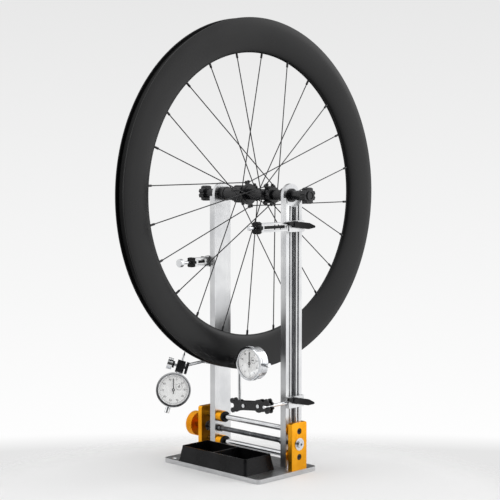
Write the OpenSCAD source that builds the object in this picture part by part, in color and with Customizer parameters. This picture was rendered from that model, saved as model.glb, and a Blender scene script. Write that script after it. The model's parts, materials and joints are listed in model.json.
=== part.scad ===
// Truing stand for bicycle wheels, with two dial gauges and the wheel that it holds.
// Millimetres, +Z up. The origin is at the centre of the base plate's underside.
// +X runs along the axle to the right upright. -Y is the side with the tool tray.

/* [Base plate] */
// Length of the base plate, along the axle
base_l = 246; // [240:1:280]
// Width of the base plate
base_w = 150; // [140:1:200]
// Thickness of the base plate
base_t = 8; // [7:0.5:15]
// Radius of the base plate's corners
base_corner_r = 9; // [3:0.5:15]
// Diameter of the two bench holes at the left end
bench_hole_d = 5.5; // [4:0.1:7]
// Diameter of the countersinks over the bench holes
bench_sink_d = 10; // [8:0.5:14]
// Distance of the bench holes from the left end
bench_hole_inset = 20; // [12:0.5:24]
// Distance of the bench holes from the long edges
bench_edge_inset = 9; // [7:0.5:20]

/* [Tool tray] */
// Length of the tray at its foot
tray_l = 175; // [120:1:185]
// Width of the tray at its foot
tray_w = 76; // [50:1:80]
// Height of the tray
tray_h = 28; // [15:1:40]
// How far each side leans in towards the top
tray_draft = 5; // [1:0.5:8]
// Thickness of the tray's walls and floor
tray_wall = 2.5; // [1.5:0.25:4]
// Radius of the tray's upright corners
tray_corner_r = 6; // [4.5:0.5:10]
// Shift of the tray's middle to the right
tray_x = 2.5; // [-5:0.5:5]
// Distance of the tray's foot from the front edge
tray_front_gap = 1; // [0.5:0.5:4]

/* [End blocks and guide rods] */
// Thickness of an end block
block_t = 9.5; // [8.5:0.5:14]
// Width of an end block
block_w = 38; // [32:1:50]
// Height of an end block
block_h = 85; // [84:1:100]
// Radius of an end block's upper corners
block_corner_r = 4; // [1:0.5:8]
// Distance of the end blocks from the ends of the base plate
block_inset = 2; // [0:0.5:4]
// Distance of the rods from the middle of the base plate
rod_y = 30; // [28:0.5:32]
// Height of the lower guide rod
low_rod_z = 31; // [28:0.5:34]
// Height of the leadscrew
screw_z = 54; // [52:0.5:56]
// Height of the upper guide rod
top_rod_z = 77; // [74:0.5:80]
// Diameter of the guide rods
rod_d = 10; // [8:0.5:11]
// Diameter of the leadscrew's thread
screw_d = 9.5; // [8.5:0.5:11]
// Diameter of the leadscrew's journals
journal_d = 8; // [6:0.5:8]
// Outer diameter of a screw bearing's flange
bearing_flange_d = 22; // [20:0.5:26]

/* [Hand knob] */
// Diameter of the hand knob
knob_d = 46; // [36:1:60]
// Thickness of the hand knob
knob_t = 15; // [10:0.5:22]
// Gap between the left end block and the hand knob
knob_gap = 16; // [10:0.5:25]
// Number of grip grooves round the hand knob
knob_grooves = 40; // [16:1:60]

/* [Uprights] */
// Space between an upright and its end block, for the screw's travel
upright_play = 14; // [13:0.5:18]
// Thickness of an upright
upright_t = 13; // [13:0.5:15]
// Width of an upright
upright_w = 41; // [38:0.5:50]
// Distance of the uprights' middle from the middle of the base plate
upright_y = 40.5; // [39.5:0.5:42]
// Height of the rim's lowest point over the bench
rim_clearance = 176; // [172:1:200]
// Thickness of the thin plate at the top of an upright
head_t = 6.5; // [5:0.5:8]
// Diameter of a bushing
bushing_d = 21; // [16:0.5:21]
// Length of a bushing
bushing_l = 14.5; // [8:0.5:20]

/* [Axle ends] */
// Diameter of an axle shaft
shaft_d = 17; // [14:0.5:20]
// Length of an axle shaft outside the upright
shaft_l = 25.5; // [20:0.5:32]
// Diameter of an axle knob
axle_knob_d = 29; // [24:0.5:32]
// Thickness of an axle knob
axle_knob_t = 12; // [9:0.5:16]
// Diameter of the stub that holds the hub
stub_d = 12; // [10:0.5:13]
// Length of the stub inside the hub
stub_l = 17; // [15:0.5:20]
// Length of the collar between hub and upright
collar_l = 12.9; // [9:0.1:16]

/* [Wheel] */
// Outer radius of the rim
rim_r = 317; // [305:1:325]
// Depth of the rim
rim_depth = 62; // [30:1:70]
// Width of the rim
rim_w = 25; // [22:0.5:28]
// Number of spokes, a multiple of four
spoke_count = 24; // [16:4:32]
// Diameter of a spoke
spoke_d = 1.9; // [1.4:0.1:2]

/* [Gauge carriers] */
// Height of the lower right slider
lower_right_z = 127; // [124:1:140]
// Distance of the upper right slider below the axle
upper_right_drop = 54; // [50:1:80]
// Distance of the upper left slider below the axle
upper_left_drop = 126; // [90:1:150]
// Height of the lower left slider
lower_left_z = 184; // [176:1:190]
// Height of a slider
slider_h = 20; // [18:0.5:24]
// Width of a slider
slider_w = 39; // [34:0.5:44]
// Thickness of a slider
slider_t = 9.5; // [8:0.5:12]
// Length of a clamp lever from its stud to the paddle's tip
lever_l = 41; // [34:1:52]
// Diameter of the arm rods
arm_rod_d = 5.5; // [4:0.25:6]

/* [Dial gauges] */
// Outer diameter of a gauge's case, which the bezel fits round
case_d = 58; // [53:0.5:59]
// Diameter of a gauge's stem
stem_d = 8; // [7:0.5:9.5]
// Length of a gauge's stem
stem_l = 24; // [22:0.5:28]
// Distance from the stem's end to the tip, lateral gauge
lateral_reach = 6.7; // [5.7:0.1:12]
// Distance from the stem's end to the tip, radial gauge
radial_reach = 17.2; // [10:0.1:22]
// Angle of the radial gauge's plunger from the vertical
radial_lean = 23; // [18:1:28]

/* [Hidden] */
$fn = 64;

// Colours of the finishes
gold = [0.93, 0.6, 0.08];
silver = [0.78, 0.79, 0.81];
black = [0.1, 0.1, 0.11];
carbon = [0.14, 0.14, 0.15];
dark_steel = [0.28, 0.3, 0.31];
dial_white = [0.93, 0.93, 0.9];

// Clearances and the overrun of the cuts
run_fit = 0.05;
seat_fit = 0.02;
clear = 0.3;
over = 1;

// Screws in the end blocks
bolt_d = 6;
bolt_head_d = 10;
bolt_head_h = 3.5;
bolt_socket_d = 5;
bolt_socket_depth = 2;
bolt_reach = 16;
counterbore_d = 11;
counterbore_depth = 4.5;
rod_seat_depth = 2.5;
block_screw_d = 5;
block_screw_head_d = 9;
block_screw_head_h = 2.5;
block_screw_reach = 14;
block_screw_pitch = 22;

// Screw bearings
bearing_d = 19;
bearing_flange_t = 1.2;
end_nut_d = 13;
end_nut_t = 3.5;
end_nut_socket_d = 5;
screw_shoulder_gap = 2;

// Hand knob
knob_boss_d = 20;
knob_dish_d = 32;
knob_dish_depth = 2;
knob_groove_d = 1.8;

// Upright section, from its inner face outwards
upright_lift = 0.5;
slot_w = 8.4;
slot_cavity_w = 11.6;
slot_cavity_x0 = 2.5;
slot_cavity_x1 = 8;
rib_d = 7;
rib_groove_w = 2;
pocket_r = 21;

// Right bushings, rod wipers and the screw's nut
sleeve_wall = 1.5;
sleeve_flange_t = 2.5;
wiper_d = 20;
wiper_l = 5.5;
nut_flange_d = 13;
nut_flange_t = 3;
nut_body_l = 5;
nut_body_d = 11.5;

// Axle ends
collar_d = 26;
collar_gap = 0.3;
stub_gap = 0.3;
axle_washer_d = 24;
axle_washer_t = 2.5;
knob_seat_d = 12;
knob_seat_l = 13;
axle_tip_proud = 2;
flute_count = 8;
flute_d = 5;

// Hub
hub_tube_d = 15;
left_flange_x = -15.5;
right_flange_x = 36;
left_hole_r = 22.3;
right_hole_r = 18.5;
flange_t = 2.5;
flange_lug_d = 6.6;
flange_valley = 3;
barrel_d = 20;
left_barrel_d = 30;
right_barrel_d = 28;
right_barrel_l = 12;
freehub_d = 32;
freehub_l = 31;
cap_d = 24;
spline_count = 9;
spline_d = 3.6;
cap_lip = 3;

// Spokes
spoke_start_angle = 10.75;
spoke_lead_angle = 68;
elbow_gap = 0.15;
elbow_swell = 0.2;
spoke_head_d = 3.2;
spoke_head_t = 1.2;
rim_stagger = 1.2;
nipple_d = 4;
nipple_out = 8;
nipple_head_d = 6;
nipple_head_t = 2.5;
nipple_head_rise = 2.4;
spoke_bite = 6;

// Rim section
rim_hook_w = 3;
rim_hook_h = 6;
rim_bed_sag = 3;
rim_peak_drop = 12;
rim_top_narrow = 0.7;
rim_wall = 2;
rim_nose_wall = 4;
rim_bed_wall = 3;
rim_steps = 9;
valve_hole_d = 6.5;
valve_angle = 168;

// Sliders and their clamps
slider_shift = -3.5;
nut_head_w = 11;
nut_head_h = 12;
nut_neck_w = 8;
nut_seat_depth = 5;
stud_d = 6;
stud_from_edge = 12.5;
stud_rise = 3.5;
lever_boss_d = 12;
lever_boss_h = 6.5;
lever_h = 11;
lever_tip_h = 4.6;
lever_tail_h = 6.4;
lever_tail_l = 16;
lever_t = 5;
lever_bow = 160;
lever_swell_share = 0.2;
lever_taper_share = 0.75;
lower_droop = 12;
upper_droop = 7;

// Probe arms on the upper sliders
arm_x_inset = 5;
arm_bar_h = 16;
arm_bar_t = 7;
arm_wall = 8;
right_arm_l = 69;
left_arm_l = 33.5;
probe_d = 5.5;
right_probe_knob_d = 22;
left_probe_knob_d = 19;
probe_knob_l = 9;
probe_knob_gap = 2;
right_probe_tip_l = 16;
left_probe_tip_l = 26.5;
right_probe_disc_d = 7.5;
left_probe_disc_d = 15;
right_probe_disc_t = 4;
left_probe_disc_t = 7;
arm_slot_h = 9;
probe_flute_count = 6;
probe_flute_d = 5;

// Link between the lower right arm and the gauge post
arm_rod_past = 14;
link_drop = 6;
plate_t = 3;
link_screw_d = 4;
link_screw_head_d = 7;
link_screw_head_h = 2;
link_screw_share = 0.29;
second_screw_share = 0.775;
link_end_r = 10;
rod_end_r = 7.5;
rod_mouth_r = 3.2;
link_bar_h = 16;
link_lobe_r = 11.5;
prong_r = 4.6;
prong_spread = 8.4;
left_prong_reach = 13;
right_prong_reach = -2;
jaw_l = 20;
jaw_slit_w = 2.5;
jaw_mouth_r = 4.2;
post_below = 6;
post_above = 8;
clamp_w = 12;
clamp_margin = 5;

// Swivel and rod of the radial gauge's arm
swivel_pin_d = 4;
swivel_y_gap = 8;
lug_w = 11;
lug_t = 5;
eye_t = 4;
eye_drop = 4;
pin_head_d = 7;
pin_head_t = 1.5;
clamp_bolt_d = 5;
arm_clamp_w = 14;
arm_clamp_h = 20;
arm_clamp_back = 16;
arm_seat_depth = 10;
arm_collar_d = 12;
arm_collar_l = 3.5;
arm_nut_d = 20;
arm_nut_l = 9;
arm_bolt_out = 4;
arm_jaw_t = 4.5;
arm_jaw_gap = 2;
arm_jaw_w = 15;

// Dial gauges, measured from the dial's centre
bezel_skirt = 1.5;
case_depth = 17;
case_front = 8;
case_wall = 2;
dial_t = 0.8;
bezel_t = 8;
bezel_wall = 2.5;
bezel_front_gap = 4;
needle_l = 20;
needle_tail_l = 7;
needle_w = 1.4;
needle_t = 0.5;
needle_hub_d = 5;
dial_post_d = 1.8;
counter_r = 11;
counter_l = 4.2;
counter_w = 0.9;
counter_hub_d = 2.6;
counter_post_d = 1.2;
plunger_d = 4.5;
gauge_cap_d = 8;
gauge_cap_l = 6;
gauge_top_boss_l = 5;
contact_l = 4;
contact_tip_d = 2.4;
radial_spin = 48;
contact_angle = 31;
lateral_needle_angle = 90;
radial_needle_angle = -17;
lateral_counter_angle = 145;
radial_counter_angle = 45;
tip_gap = 0.3;
post_clamp_on_stem = 15;
arm_clamp_on_stem = 14.5;
post_stem_gap = 4;
gauge_rim_inset = 14.6;
gauge_rim_angle = 15;

// Places worked out from the sizes above
block_out_x = base_l / 2 - block_inset;
block_in_x = block_out_x - block_t;
upright_out_x = block_in_x - upright_play;
upright_in_x = upright_out_x - upright_t;
sleeve_d = rod_d + 2 * sleeve_wall;
hub_w = 2 * (upright_in_x - collar_gap - collar_l - stub_gap);
axle_z = rim_r + rim_clearance;
upper_right_z = axle_z - upper_right_drop;
upper_left_z = axle_z - upper_left_drop;
slider_in_x = upright_out_x + clear;
slider_out_x = slider_in_x + slider_t;
slider_y0 = upright_y + slider_shift - slider_w / 2;
lever_x = slider_out_x + clear;
lever_y = slider_y0 + stud_from_edge;
knob_face_x = block_out_x + knob_gap;
rim_in_r = rim_r - rim_depth;
arm_x = slider_out_x - arm_x_inset;
gauge_r = rim_r - gauge_rim_inset;
gauge_z = axle_z - gauge_r * cos(gauge_rim_angle);
gauge_y = upright_y - gauge_r * sin(gauge_rim_angle);
bezel_d = case_d + 2 * bezel_skirt;
stem_end = case_d / 2 + stem_l;
lateral_tip_l = stem_end + lateral_reach;
radial_tip_l = stem_end + radial_reach;
clamp_from_centre = case_d / 2 + post_clamp_on_stem;
radial_clamp_from_centre = case_d / 2 + arm_clamp_on_stem;
post_y = gauge_y + stem_d / 2 + post_stem_gap + arm_rod_d / 2;
arm_front_y = post_y - arm_rod_past;
lateral_x = rim_w / 2 + tip_gap + lateral_tip_l;
post_x = lateral_x - clamp_from_centre;
link_l = (arm_x - post_x) / cos(link_drop);
radial_x = -rim_w / 2 + rim_hook_w / 2 + rim_top_narrow;
swivel_y = slider_y0 - swivel_y_gap;
swivel_z = lower_left_z - eye_drop;
lug_rise = arm_rod_d / 2 + 3 * clear;
plate_gap = arm_rod_d + 2 * clear;
arm_seat_y = lever_y - stud_d / 2 - 2 * clear;

// Turns a vector about X
function turn_x(v, a) = [v.x, v.y * cos(a) - v.z * sin(a), v.y * sin(a) + v.z * cos(a)];

// Turns a vector about Z
function turn_z(v, a) = [v.x * cos(a) - v.y * sin(a), v.x * sin(a) + v.y * cos(a), v.z];

// Place of the radial gauge's dial centre
function radial_centre() = [
    radial_x,
    upright_y - (rim_r + tip_gap) * sin(contact_angle) - radial_tip_l * sin(radial_lean),
    axle_z - (rim_r + tip_gap) * cos(contact_angle) - radial_tip_l * cos(radial_lean)
];

// A point given in the radial gauge's own frame
function radial_point(p) = radial_centre() + turn_x(turn_z(p, radial_spin), -radial_lean);

// Round bars along the three axes
module bar_x(x0, x1, d) {
    translate([x0, 0, 0]) rotate([0, 90, 0]) cylinder(h = x1 - x0, d = d);
}

module bar_y(y0, y1, d) {
    translate([0, y0, 0]) rotate([-90, 0, 0]) cylinder(h = y1 - y0, d = d);
}

module bar_z(z0, z1, d) {
    translate([0, 0, z0]) cylinder(h = z1 - z0, d = d);
}

// A flat shape drawn in Y and Z, with its thickness along X
module plate_x(x0, x1) {
    translate([x0, 0, 0]) rotate([90, 0, 90]) linear_extrude(x1 - x0) children();
}

// A flat shape drawn in X and Z, with its thickness along Y
module plate_y(y0, y1) {
    translate([0, y1, 0]) rotate([90, 0, 0]) linear_extrude(y1 - y0) children();
}

// A round bar from one point to another
module bar_between(p, q, d) {
    v = q - p;
    translate(p) rotate([0, acos(v.z / norm(v)), atan2(v.y, v.x)]) cylinder(h = norm(v), d = d);
}

module round_rect(l, w, r) {
    square([l - 2 * r, w], center = true);
    square([l, w - 2 * r], center = true);
    for (sx = [-1, 1], sy = [-1, 1]) {
        translate([sx * (l / 2 - r), sy * (w / 2 - r)]) circle(r);
    }
}

module at_axle() {
    translate([0, upright_y, axle_z]) children();
}

module at_rod(z) {
    translate([0, rod_y, z]) children();
}

module left_side() {
    mirror([1, 0, 0]) children();
}

// Base plate, with bench holes and the block screws' countersinks from below
module base_plate() {
    color(silver) difference() {
        linear_extrude(base_t) round_rect(base_l, base_w, base_corner_r);
        for (sy = [-1, 1]) {
            translate([-base_l / 2 + bench_hole_inset, sy * (base_w / 2 - bench_edge_inset), 0]) {
                bar_z(-over, base_t + over, bench_hole_d);
                translate([0, 0, base_t - (bench_sink_d - bench_hole_d) / 2])
                    cylinder(h = bench_sink_d / 2, d1 = bench_hole_d, d2 = 2 * bench_sink_d - bench_hole_d);
            }
        }
        for (p = block_screw_places()) {
            translate([p.x, p.y, 0]) {
                bar_z(-over, base_t + over, block_screw_d + 2 * run_fit);
                bar_z(-over, block_screw_head_h + clear, block_screw_head_d + 2 * clear);
            }
        }
    }
}

function block_screw_places() = [
    for (sx = [-1, 1], sy = [-1, 1])
        [sx * (block_out_x - block_t / 2), rod_y + sy * block_screw_pitch / 2]
];

module block_screws() {
    color(dark_steel) for (p = block_screw_places()) {
        translate([p.x, p.y, clear]) difference() {
            union() {
                bar_z(0, block_screw_head_h, block_screw_head_d);
                bar_z(0, base_t + block_screw_reach - 2 * clear, block_screw_d);
            }
            translate([0, 0, -over]) cylinder(h = over + bolt_socket_depth, d = block_screw_d / 2, $fn = 6);
        }
    }
}

// Tray with two compartments
module tray_solid(inset, z0, z1) {
    lean = tray_draft / tray_h;
    hull() {
        for (z = [z0, z1]) {
            translate([0, 0, z]) linear_extrude(seat_fit)
                round_rect(
                    tray_l - 2 * (z * lean + inset),
                    tray_w - 2 * (z * lean + inset),
                    tray_corner_r - inset,
                    $fn = 32
                );
        }
    }
}

module tool_tray() {
    color(black) translate([tray_x, -base_w / 2 + tray_front_gap + tray_w / 2, base_t]) difference() {
        tray_solid(0, 0, tray_h - seat_fit);
        difference() {
            tray_solid(tray_wall, tray_wall, tray_h + over);
            translate([0, 0, tray_h / 2]) cube([tray_wall, tray_w, tray_h], center = true);
        }
    }
}

// End blocks of the guide rods
module block_outline() {
    translate([rod_y - block_w / 2, base_t]) {
        square([block_w, block_h - block_corner_r]);
        translate([block_corner_r, 0]) square([block_w - 2 * block_corner_r, block_h]);
        for (y = [block_corner_r, block_w - block_corner_r]) {
            translate([y, block_h - block_corner_r]) circle(block_corner_r);
        }
    }
}

module end_block() {
    difference() {
        plate_x(block_in_x, block_out_x) block_outline();
        for (z = [low_rod_z, top_rod_z]) {
            at_rod(z) {
                bar_x(block_in_x - over, block_in_x + rod_seat_depth, rod_d + 2 * seat_fit);
                bar_x(block_in_x, block_out_x, bolt_d + 2 * run_fit);
                bar_x(block_out_x - counterbore_depth, block_out_x + over, counterbore_d);
            }
        }
        at_rod(screw_z) bar_x(block_in_x - over, block_out_x + over, bearing_d + 2 * seat_fit);
        for (p = block_screw_places()) {
            if (p.x > 0) {
                translate([p.x, p.y, 0])
                    bar_z(base_t - over, base_t + block_screw_reach, block_screw_d + 2 * run_fit);
            }
        }
    }
}

module right_end_block() {
    color(gold) end_block();
}

module left_end_block() {
    color(gold) left_side() end_block();
}

// Two polished rods, each tapped for a bolt at both ends
module guide_rods() {
    rod_end = block_in_x + rod_seat_depth - seat_fit;
    color(silver) for (z = [low_rod_z, top_rod_z]) {
        at_rod(z) difference() {
            bar_x(-rod_end, rod_end, rod_d);
            bar_x(rod_end - bolt_reach, rod_end + over, bolt_d + 2 * run_fit);
            bar_x(-rod_end - over, -rod_end + bolt_reach, bolt_d + 2 * run_fit);
        }
    }
}

module rod_bolt() {
    head_x = block_out_x - counterbore_depth;
    difference() {
        union() {
            bar_x(head_x, head_x + bolt_head_h, bolt_head_d);
            bar_x(head_x - bolt_reach, head_x, bolt_d);
        }
        translate([head_x + bolt_head_h - bolt_socket_depth, 0, 0]) rotate([0, 90, 0])
            cylinder(h = bolt_socket_depth + over, d = bolt_socket_d, $fn = 6);
    }
}

module rod_bolts() {
    color(dark_steel) for (z = [low_rod_z, top_rod_z]) {
        at_rod(z) {
            rod_bolt();
            left_side() rod_bolt();
        }
    }
}

module screw_bearing() {
    at_rod(screw_z) difference() {
        union() {
            bar_x(block_in_x, block_out_x, bearing_d);
            bar_x(block_out_x, block_out_x + bearing_flange_t, bearing_flange_d);
        }
        bar_x(block_in_x - over, block_out_x + bearing_flange_t + over, journal_d + 2 * run_fit);
    }
}

module screw_bearings() {
    color(silver) {
        screw_bearing();
        left_side() screw_bearing();
    }
}

// Leadscrew, with a journal at each end
module leadscrew() {
    thread_end = block_in_x - screw_shoulder_gap;
    color(dark_steel) at_rod(screw_z) {
        bar_x(-thread_end, thread_end, screw_d);
        bar_x(-knob_face_x - knob_t / 2, -thread_end, journal_d);
        bar_x(thread_end, block_out_x + bearing_flange_t + clear + end_nut_t - over, journal_d);
    }
}

module screw_end_nut() {
    face_x = block_out_x + bearing_flange_t + clear;
    color(silver) at_rod(screw_z) difference() {
        bar_x(face_x, face_x + end_nut_t, end_nut_d);
        bar_x(face_x - over, face_x + end_nut_t - over, journal_d + 2 * seat_fit);
        translate([face_x, 0, 0]) rotate([0, 90, 0])
            cylinder(h = end_nut_t + over, d = end_nut_socket_d, $fn = 6);
    }
}

// Hand knob on the left end of the leadscrew
module hand_knob() {
    boss_x = block_out_x + bearing_flange_t + clear;
    color(gold) left_side() at_rod(screw_z) difference() {
        union() {
            bar_x(boss_x, knob_face_x, knob_boss_d);
            bar_x(knob_face_x, knob_face_x + knob_t, knob_d);
        }
        bar_x(boss_x - over, knob_face_x + knob_t / 2, journal_d + 2 * seat_fit);
        bar_x(knob_face_x + knob_t - knob_dish_depth, knob_face_x + knob_t + over, knob_dish_d);
        for (i = [0:knob_grooves - 1]) {
            rotate([i * 360 / knob_grooves, 0, 0]) translate([0, 0, knob_d / 2])
                bar_x(knob_face_x - over, knob_face_x + knob_t + over, knob_groove_d);
        }
    }
}

// Section of an upright in X and Y, from its inner face outwards
module upright_section() {
    rib_y = slot_w / 2 + rib_d / 2 - clear;
    rib_x = upright_t - rib_d / 2;
    difference() {
        union() {
            difference() {
                translate([0, -upright_w / 2]) square([upright_t, upright_w]);
                for (s = [-1, 1]) {
                    translate([rib_x, s * (rib_y + rib_groove_w / 2) - (rib_d + rib_groove_w) / 2])
                        square([rib_d, rib_d + rib_groove_w]);
                }
            }
            for (s = [-1, 1]) {
                translate([rib_x, s * rib_y]) circle(d = rib_d);
            }
        }
        translate([slot_cavity_x0, -slot_cavity_w / 2])
            square([slot_cavity_x1 - slot_cavity_x0, slot_cavity_w]);
        translate([slot_cavity_x1 - seat_fit, -slot_w / 2]) square([upright_t, slot_w]);
    }
}

// Right upright. Its top is a thin rounded plate with a hole for the axle shaft
module upright(rod_bore_d) {
    difference() {
        union() {
            difference() {
                translate([upright_in_x, upright_y, base_t + upright_lift])
                    linear_extrude(axle_z - base_t - upright_lift) upright_section();
                at_axle() bar_x(upright_in_x + head_t, upright_out_x + over, 2 * pocket_r);
            }
            intersection() {
                translate([upright_in_x, upright_y - upright_w / 2, axle_z - pocket_r - over])
                    cube([head_t, upright_w, 2 * pocket_r + over]);
                at_axle() plate_x(upright_in_x, upright_in_x + head_t) {
                    circle(d = upright_w);
                    translate([-upright_w / 2, -2 * pocket_r]) square([upright_w, 2 * pocket_r]);
                }
            }
        }
        at_axle() bar_x(upright_in_x - over, upright_out_x + over, shaft_d + 2 * run_fit);
        for (z = [low_rod_z, top_rod_z]) {
            at_rod(z) bar_x(upright_in_x - over, upright_out_x + over, rod_bore_d);
        }
        at_rod(screw_z) bar_x(upright_in_x - over, upright_out_x + over, nut_body_d + 2 * seat_fit);
    }
}

// The left bushings stand on the upright's inner face
module bushings() {
    for (z = [low_rod_z, top_rod_z]) {
        at_rod(z) difference() {
            bar_x(upright_in_x - bushing_l, upright_in_x, bushing_d);
            bar_x(upright_in_x - bushing_l - over, upright_in_x + over, rod_d + 2 * run_fit);
        }
    }
}

// The right bushings sit inside the upright, with a flange on its outer face
module flanged_bushings() {
    for (z = [low_rod_z, top_rod_z]) {
        at_rod(z) difference() {
            union() {
                bar_x(upright_in_x, upright_out_x, sleeve_d);
                bar_x(upright_out_x, upright_out_x + sleeve_flange_t, bushing_d);
            }
            bar_x(upright_in_x - over, upright_out_x + sleeve_flange_t + over, rod_d + 2 * run_fit);
        }
    }
}

module rod_wipers() {
    face_x = upright_in_x - bushing_l;
    for (z = [low_rod_z, top_rod_z]) {
        at_rod(z) difference() {
            bar_x(face_x - wiper_l, face_x, wiper_d);
            bar_x(face_x - wiper_l - over, face_x + over, rod_d + 2 * run_fit);
        }
    }
}

module screw_nut() {
    at_rod(screw_z) difference() {
        union() {
            bar_x(upright_in_x - nut_flange_t - nut_body_l, upright_in_x, nut_flange_d);
            bar_x(upright_in_x - over, upright_out_x, nut_body_d);
        }
        bar_x(upright_in_x - nut_flange_t - nut_body_l - over, upright_out_x + over, screw_d + 2 * run_fit);
    }
}

module right_upright() {
    color(silver) upright(sleeve_d + 2 * seat_fit);
}

module left_upright() {
    color(silver) left_side() upright(rod_d + 2 * run_fit);
}

module right_bushings() {
    color(gold) flanged_bushings();
}

module left_bushings() {
    color(gold) left_side() bushings();
}

module left_rod_wipers() {
    color(dark_steel) left_side() rod_wipers();
}

module right_screw_nut() {
    color(dark_steel) screw_nut();
}

module left_screw_nut() {
    color(dark_steel) left_side() screw_nut();
}

// Axle shaft. Its collar stands against the hub, its stub goes into it
module axle_shaft() {
    plate_x1 = upright_in_x + head_t;
    hub_x = hub_w / 2;
    knob_x = upright_out_x + shaft_l;
    at_axle() {
        bar_x(hub_x - stub_l, upright_in_x, stub_d);
        bar_x(hub_x + stub_gap, upright_in_x - collar_gap, collar_d);
        bar_x(upright_in_x - over, plate_x1 + clear, shaft_d);
        bar_x(plate_x1, knob_x + knob_seat_l, knob_seat_d);
    }
}

// Axle knob with its washer and sleeve, seated on the shaft's spigot
module axle_knob() {
    sleeve_x = upright_in_x + head_t + clear;
    knob_x = upright_out_x + shaft_l;
    tip_x = knob_x + axle_knob_t + axle_tip_proud;
    at_axle() difference() {
        union() {
            bar_x(sleeve_x, sleeve_x + axle_washer_t, axle_washer_d);
            bar_x(sleeve_x, tip_x, shaft_d);
            bar_x(knob_x, knob_x + axle_knob_t, axle_knob_d);
        }
        bar_x(sleeve_x - over, tip_x + over, knob_seat_d + 2 * seat_fit);
        for (i = [0:flute_count - 1]) {
            rotate([i * 360 / flute_count, 0, 0]) translate([0, 0, axle_knob_d / 2])
                bar_x(knob_x - over, knob_x + axle_knob_t + over, flute_d);
        }
    }
}

module right_axle_shaft() {
    color(black) axle_shaft();
}

module left_axle_shaft() {
    color(black) left_side() axle_shaft();
}

module right_axle_knob() {
    color(black) axle_knob();
}

module left_axle_knob() {
    color(black) left_side() axle_knob();
}

// Half of the rim's outline, from its nose out to the tyre's hook. X is the radius
function rim_side(half, nose_r, peak_r) = [
    for (i = [0:rim_steps])
        [nose_r + (peak_r - nose_r) * (1 - cos(90 * i / rim_steps)), half * sin(90 * i / rim_steps)]
];

function flipped(points) = [for (i = [len(points) - 1:-1:0]) [points[i].x, -points[i].y]];

module rim_section() {
    half = rim_w / 2;
    peak_r = rim_r - rim_peak_drop;
    side = rim_side(half, rim_in_r, peak_r);
    hook = [
        [rim_r, half - rim_top_narrow],
        [rim_r, half - rim_top_narrow - rim_hook_w],
        [rim_r - rim_hook_h, half - rim_top_narrow - rim_hook_w]
    ];
    bed = [[rim_r - rim_hook_h - rim_bed_sag, 0]];
    right_half = concat(side, hook);
    polygon(concat(right_half, bed, flipped(right_half)));
}

// Hollow inside the rim
module rim_hollow_section() {
    half = rim_w / 2 - rim_wall;
    top_r = rim_r - rim_hook_h - rim_bed_sag - rim_bed_wall;
    side = rim_side(half, rim_in_r + rim_nose_wall, rim_r - rim_peak_drop - rim_wall);
    low_side = [for (p = side) if (p.x < top_r) p];
    edge = [[top_r, half]];
    polygon(concat(low_side, edge, flipped(concat(low_side, edge))));
}

module rim() {
    color(carbon) at_axle() difference() {
        rotate([0, 90, 0]) rotate_extrude($fn = 180) difference() {
            rim_section();
            rim_hollow_section();
        }
        rotate([valve_angle, 0, 0]) bar_y(rim_in_r - over, rim_r - rim_hook_h, valve_hole_d);
        for (i = [0:spoke_count - 1]) {
            nipple_bar(i, -rim_nose_wall - nipple_head_rise - over, nipple_out, nipple_d + 2 * clear);
        }
    }
}

module hub_shell() {
    left_x = left_flange_x - flange_t / 2;
    right_x = right_flange_x + flange_t / 2;
    color(black) at_axle() difference() {
        union() {
            bar_x(left_x, right_x, barrel_d);
            bar_x(left_x, left_flange_x + flange_t, left_barrel_d);
            bar_x(right_flange_x - flange_t, right_x + right_barrel_l, right_barrel_d);
            plate_x(left_x, left_x + flange_t) flange_outline(left_hole_r, 1);
            plate_x(right_x - flange_t, right_x) flange_outline(right_hole_r, 0);
        }
        bar_x(left_x - over, right_x + right_barrel_l + over, hub_tube_d + 2 * run_fit);
        for (i = [0:spoke_count - 1]) {
            foot = spoke_foot(i);
            translate([flange_x(i), foot.y, foot.z]) bar_x(-flange_t, flange_t, spoke_d + 2 * run_fit);
        }
    }
}

// Flange with a lug round each spoke hole. Even spokes belong to the right flange
module flange_outline(r, side) {
    circle(r - flange_valley);
    for (i = [side:2:spoke_count - 1]) {
        a = spoke_angle(i) + spoke_turn(i);
        translate([r * cos(a), r * sin(a)]) circle(d = flange_lug_d);
    }
}

module freehub_body() {
    face_x = left_flange_x - flange_t / 2 - clear;
    color(black) at_axle() plate_x(face_x - freehub_l, face_x) difference() {
        circle(d = freehub_d);
        circle(d = hub_tube_d + 2 * run_fit);
        for (i = [0:spline_count - 1]) {
            rotate(i * 360 / spline_count) translate([freehub_d / 2, 0]) circle(d = spline_d);
        }
    }
}

// Hollow hub axle with an end cap on each side, bored for the stubs
module hub_axle() {
    cap_in_left = left_flange_x - flange_t / 2 - freehub_l - 2 * clear;
    cap_in_right = right_flange_x + flange_t / 2 + right_barrel_l + clear;
    half = hub_w / 2;
    color(dark_steel) at_axle() difference() {
        union() {
            bar_x(-half, half, hub_tube_d);
            bar_x(-half, cap_in_left, cap_d);
            bar_x(cap_in_right, half, cap_d - 2 * cap_lip);
        }
        bar_x(-half - over, half + over, stub_d + 2 * run_fit);
    }
}

// Spokes alternate between the flanges, and on each flange they lead and trail by turns
function spoke_angle(i) = spoke_start_angle + i * 360 / spoke_count;
function spoke_turn(i) = (i % 4 == 1 || i % 4 == 2) ? spoke_lead_angle : -spoke_lead_angle;
function on_circle(x, r, a) = [x, r * cos(a), r * sin(a)];
function flange_x(i) = i % 2 == 1 ? left_flange_x : right_flange_x;

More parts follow.
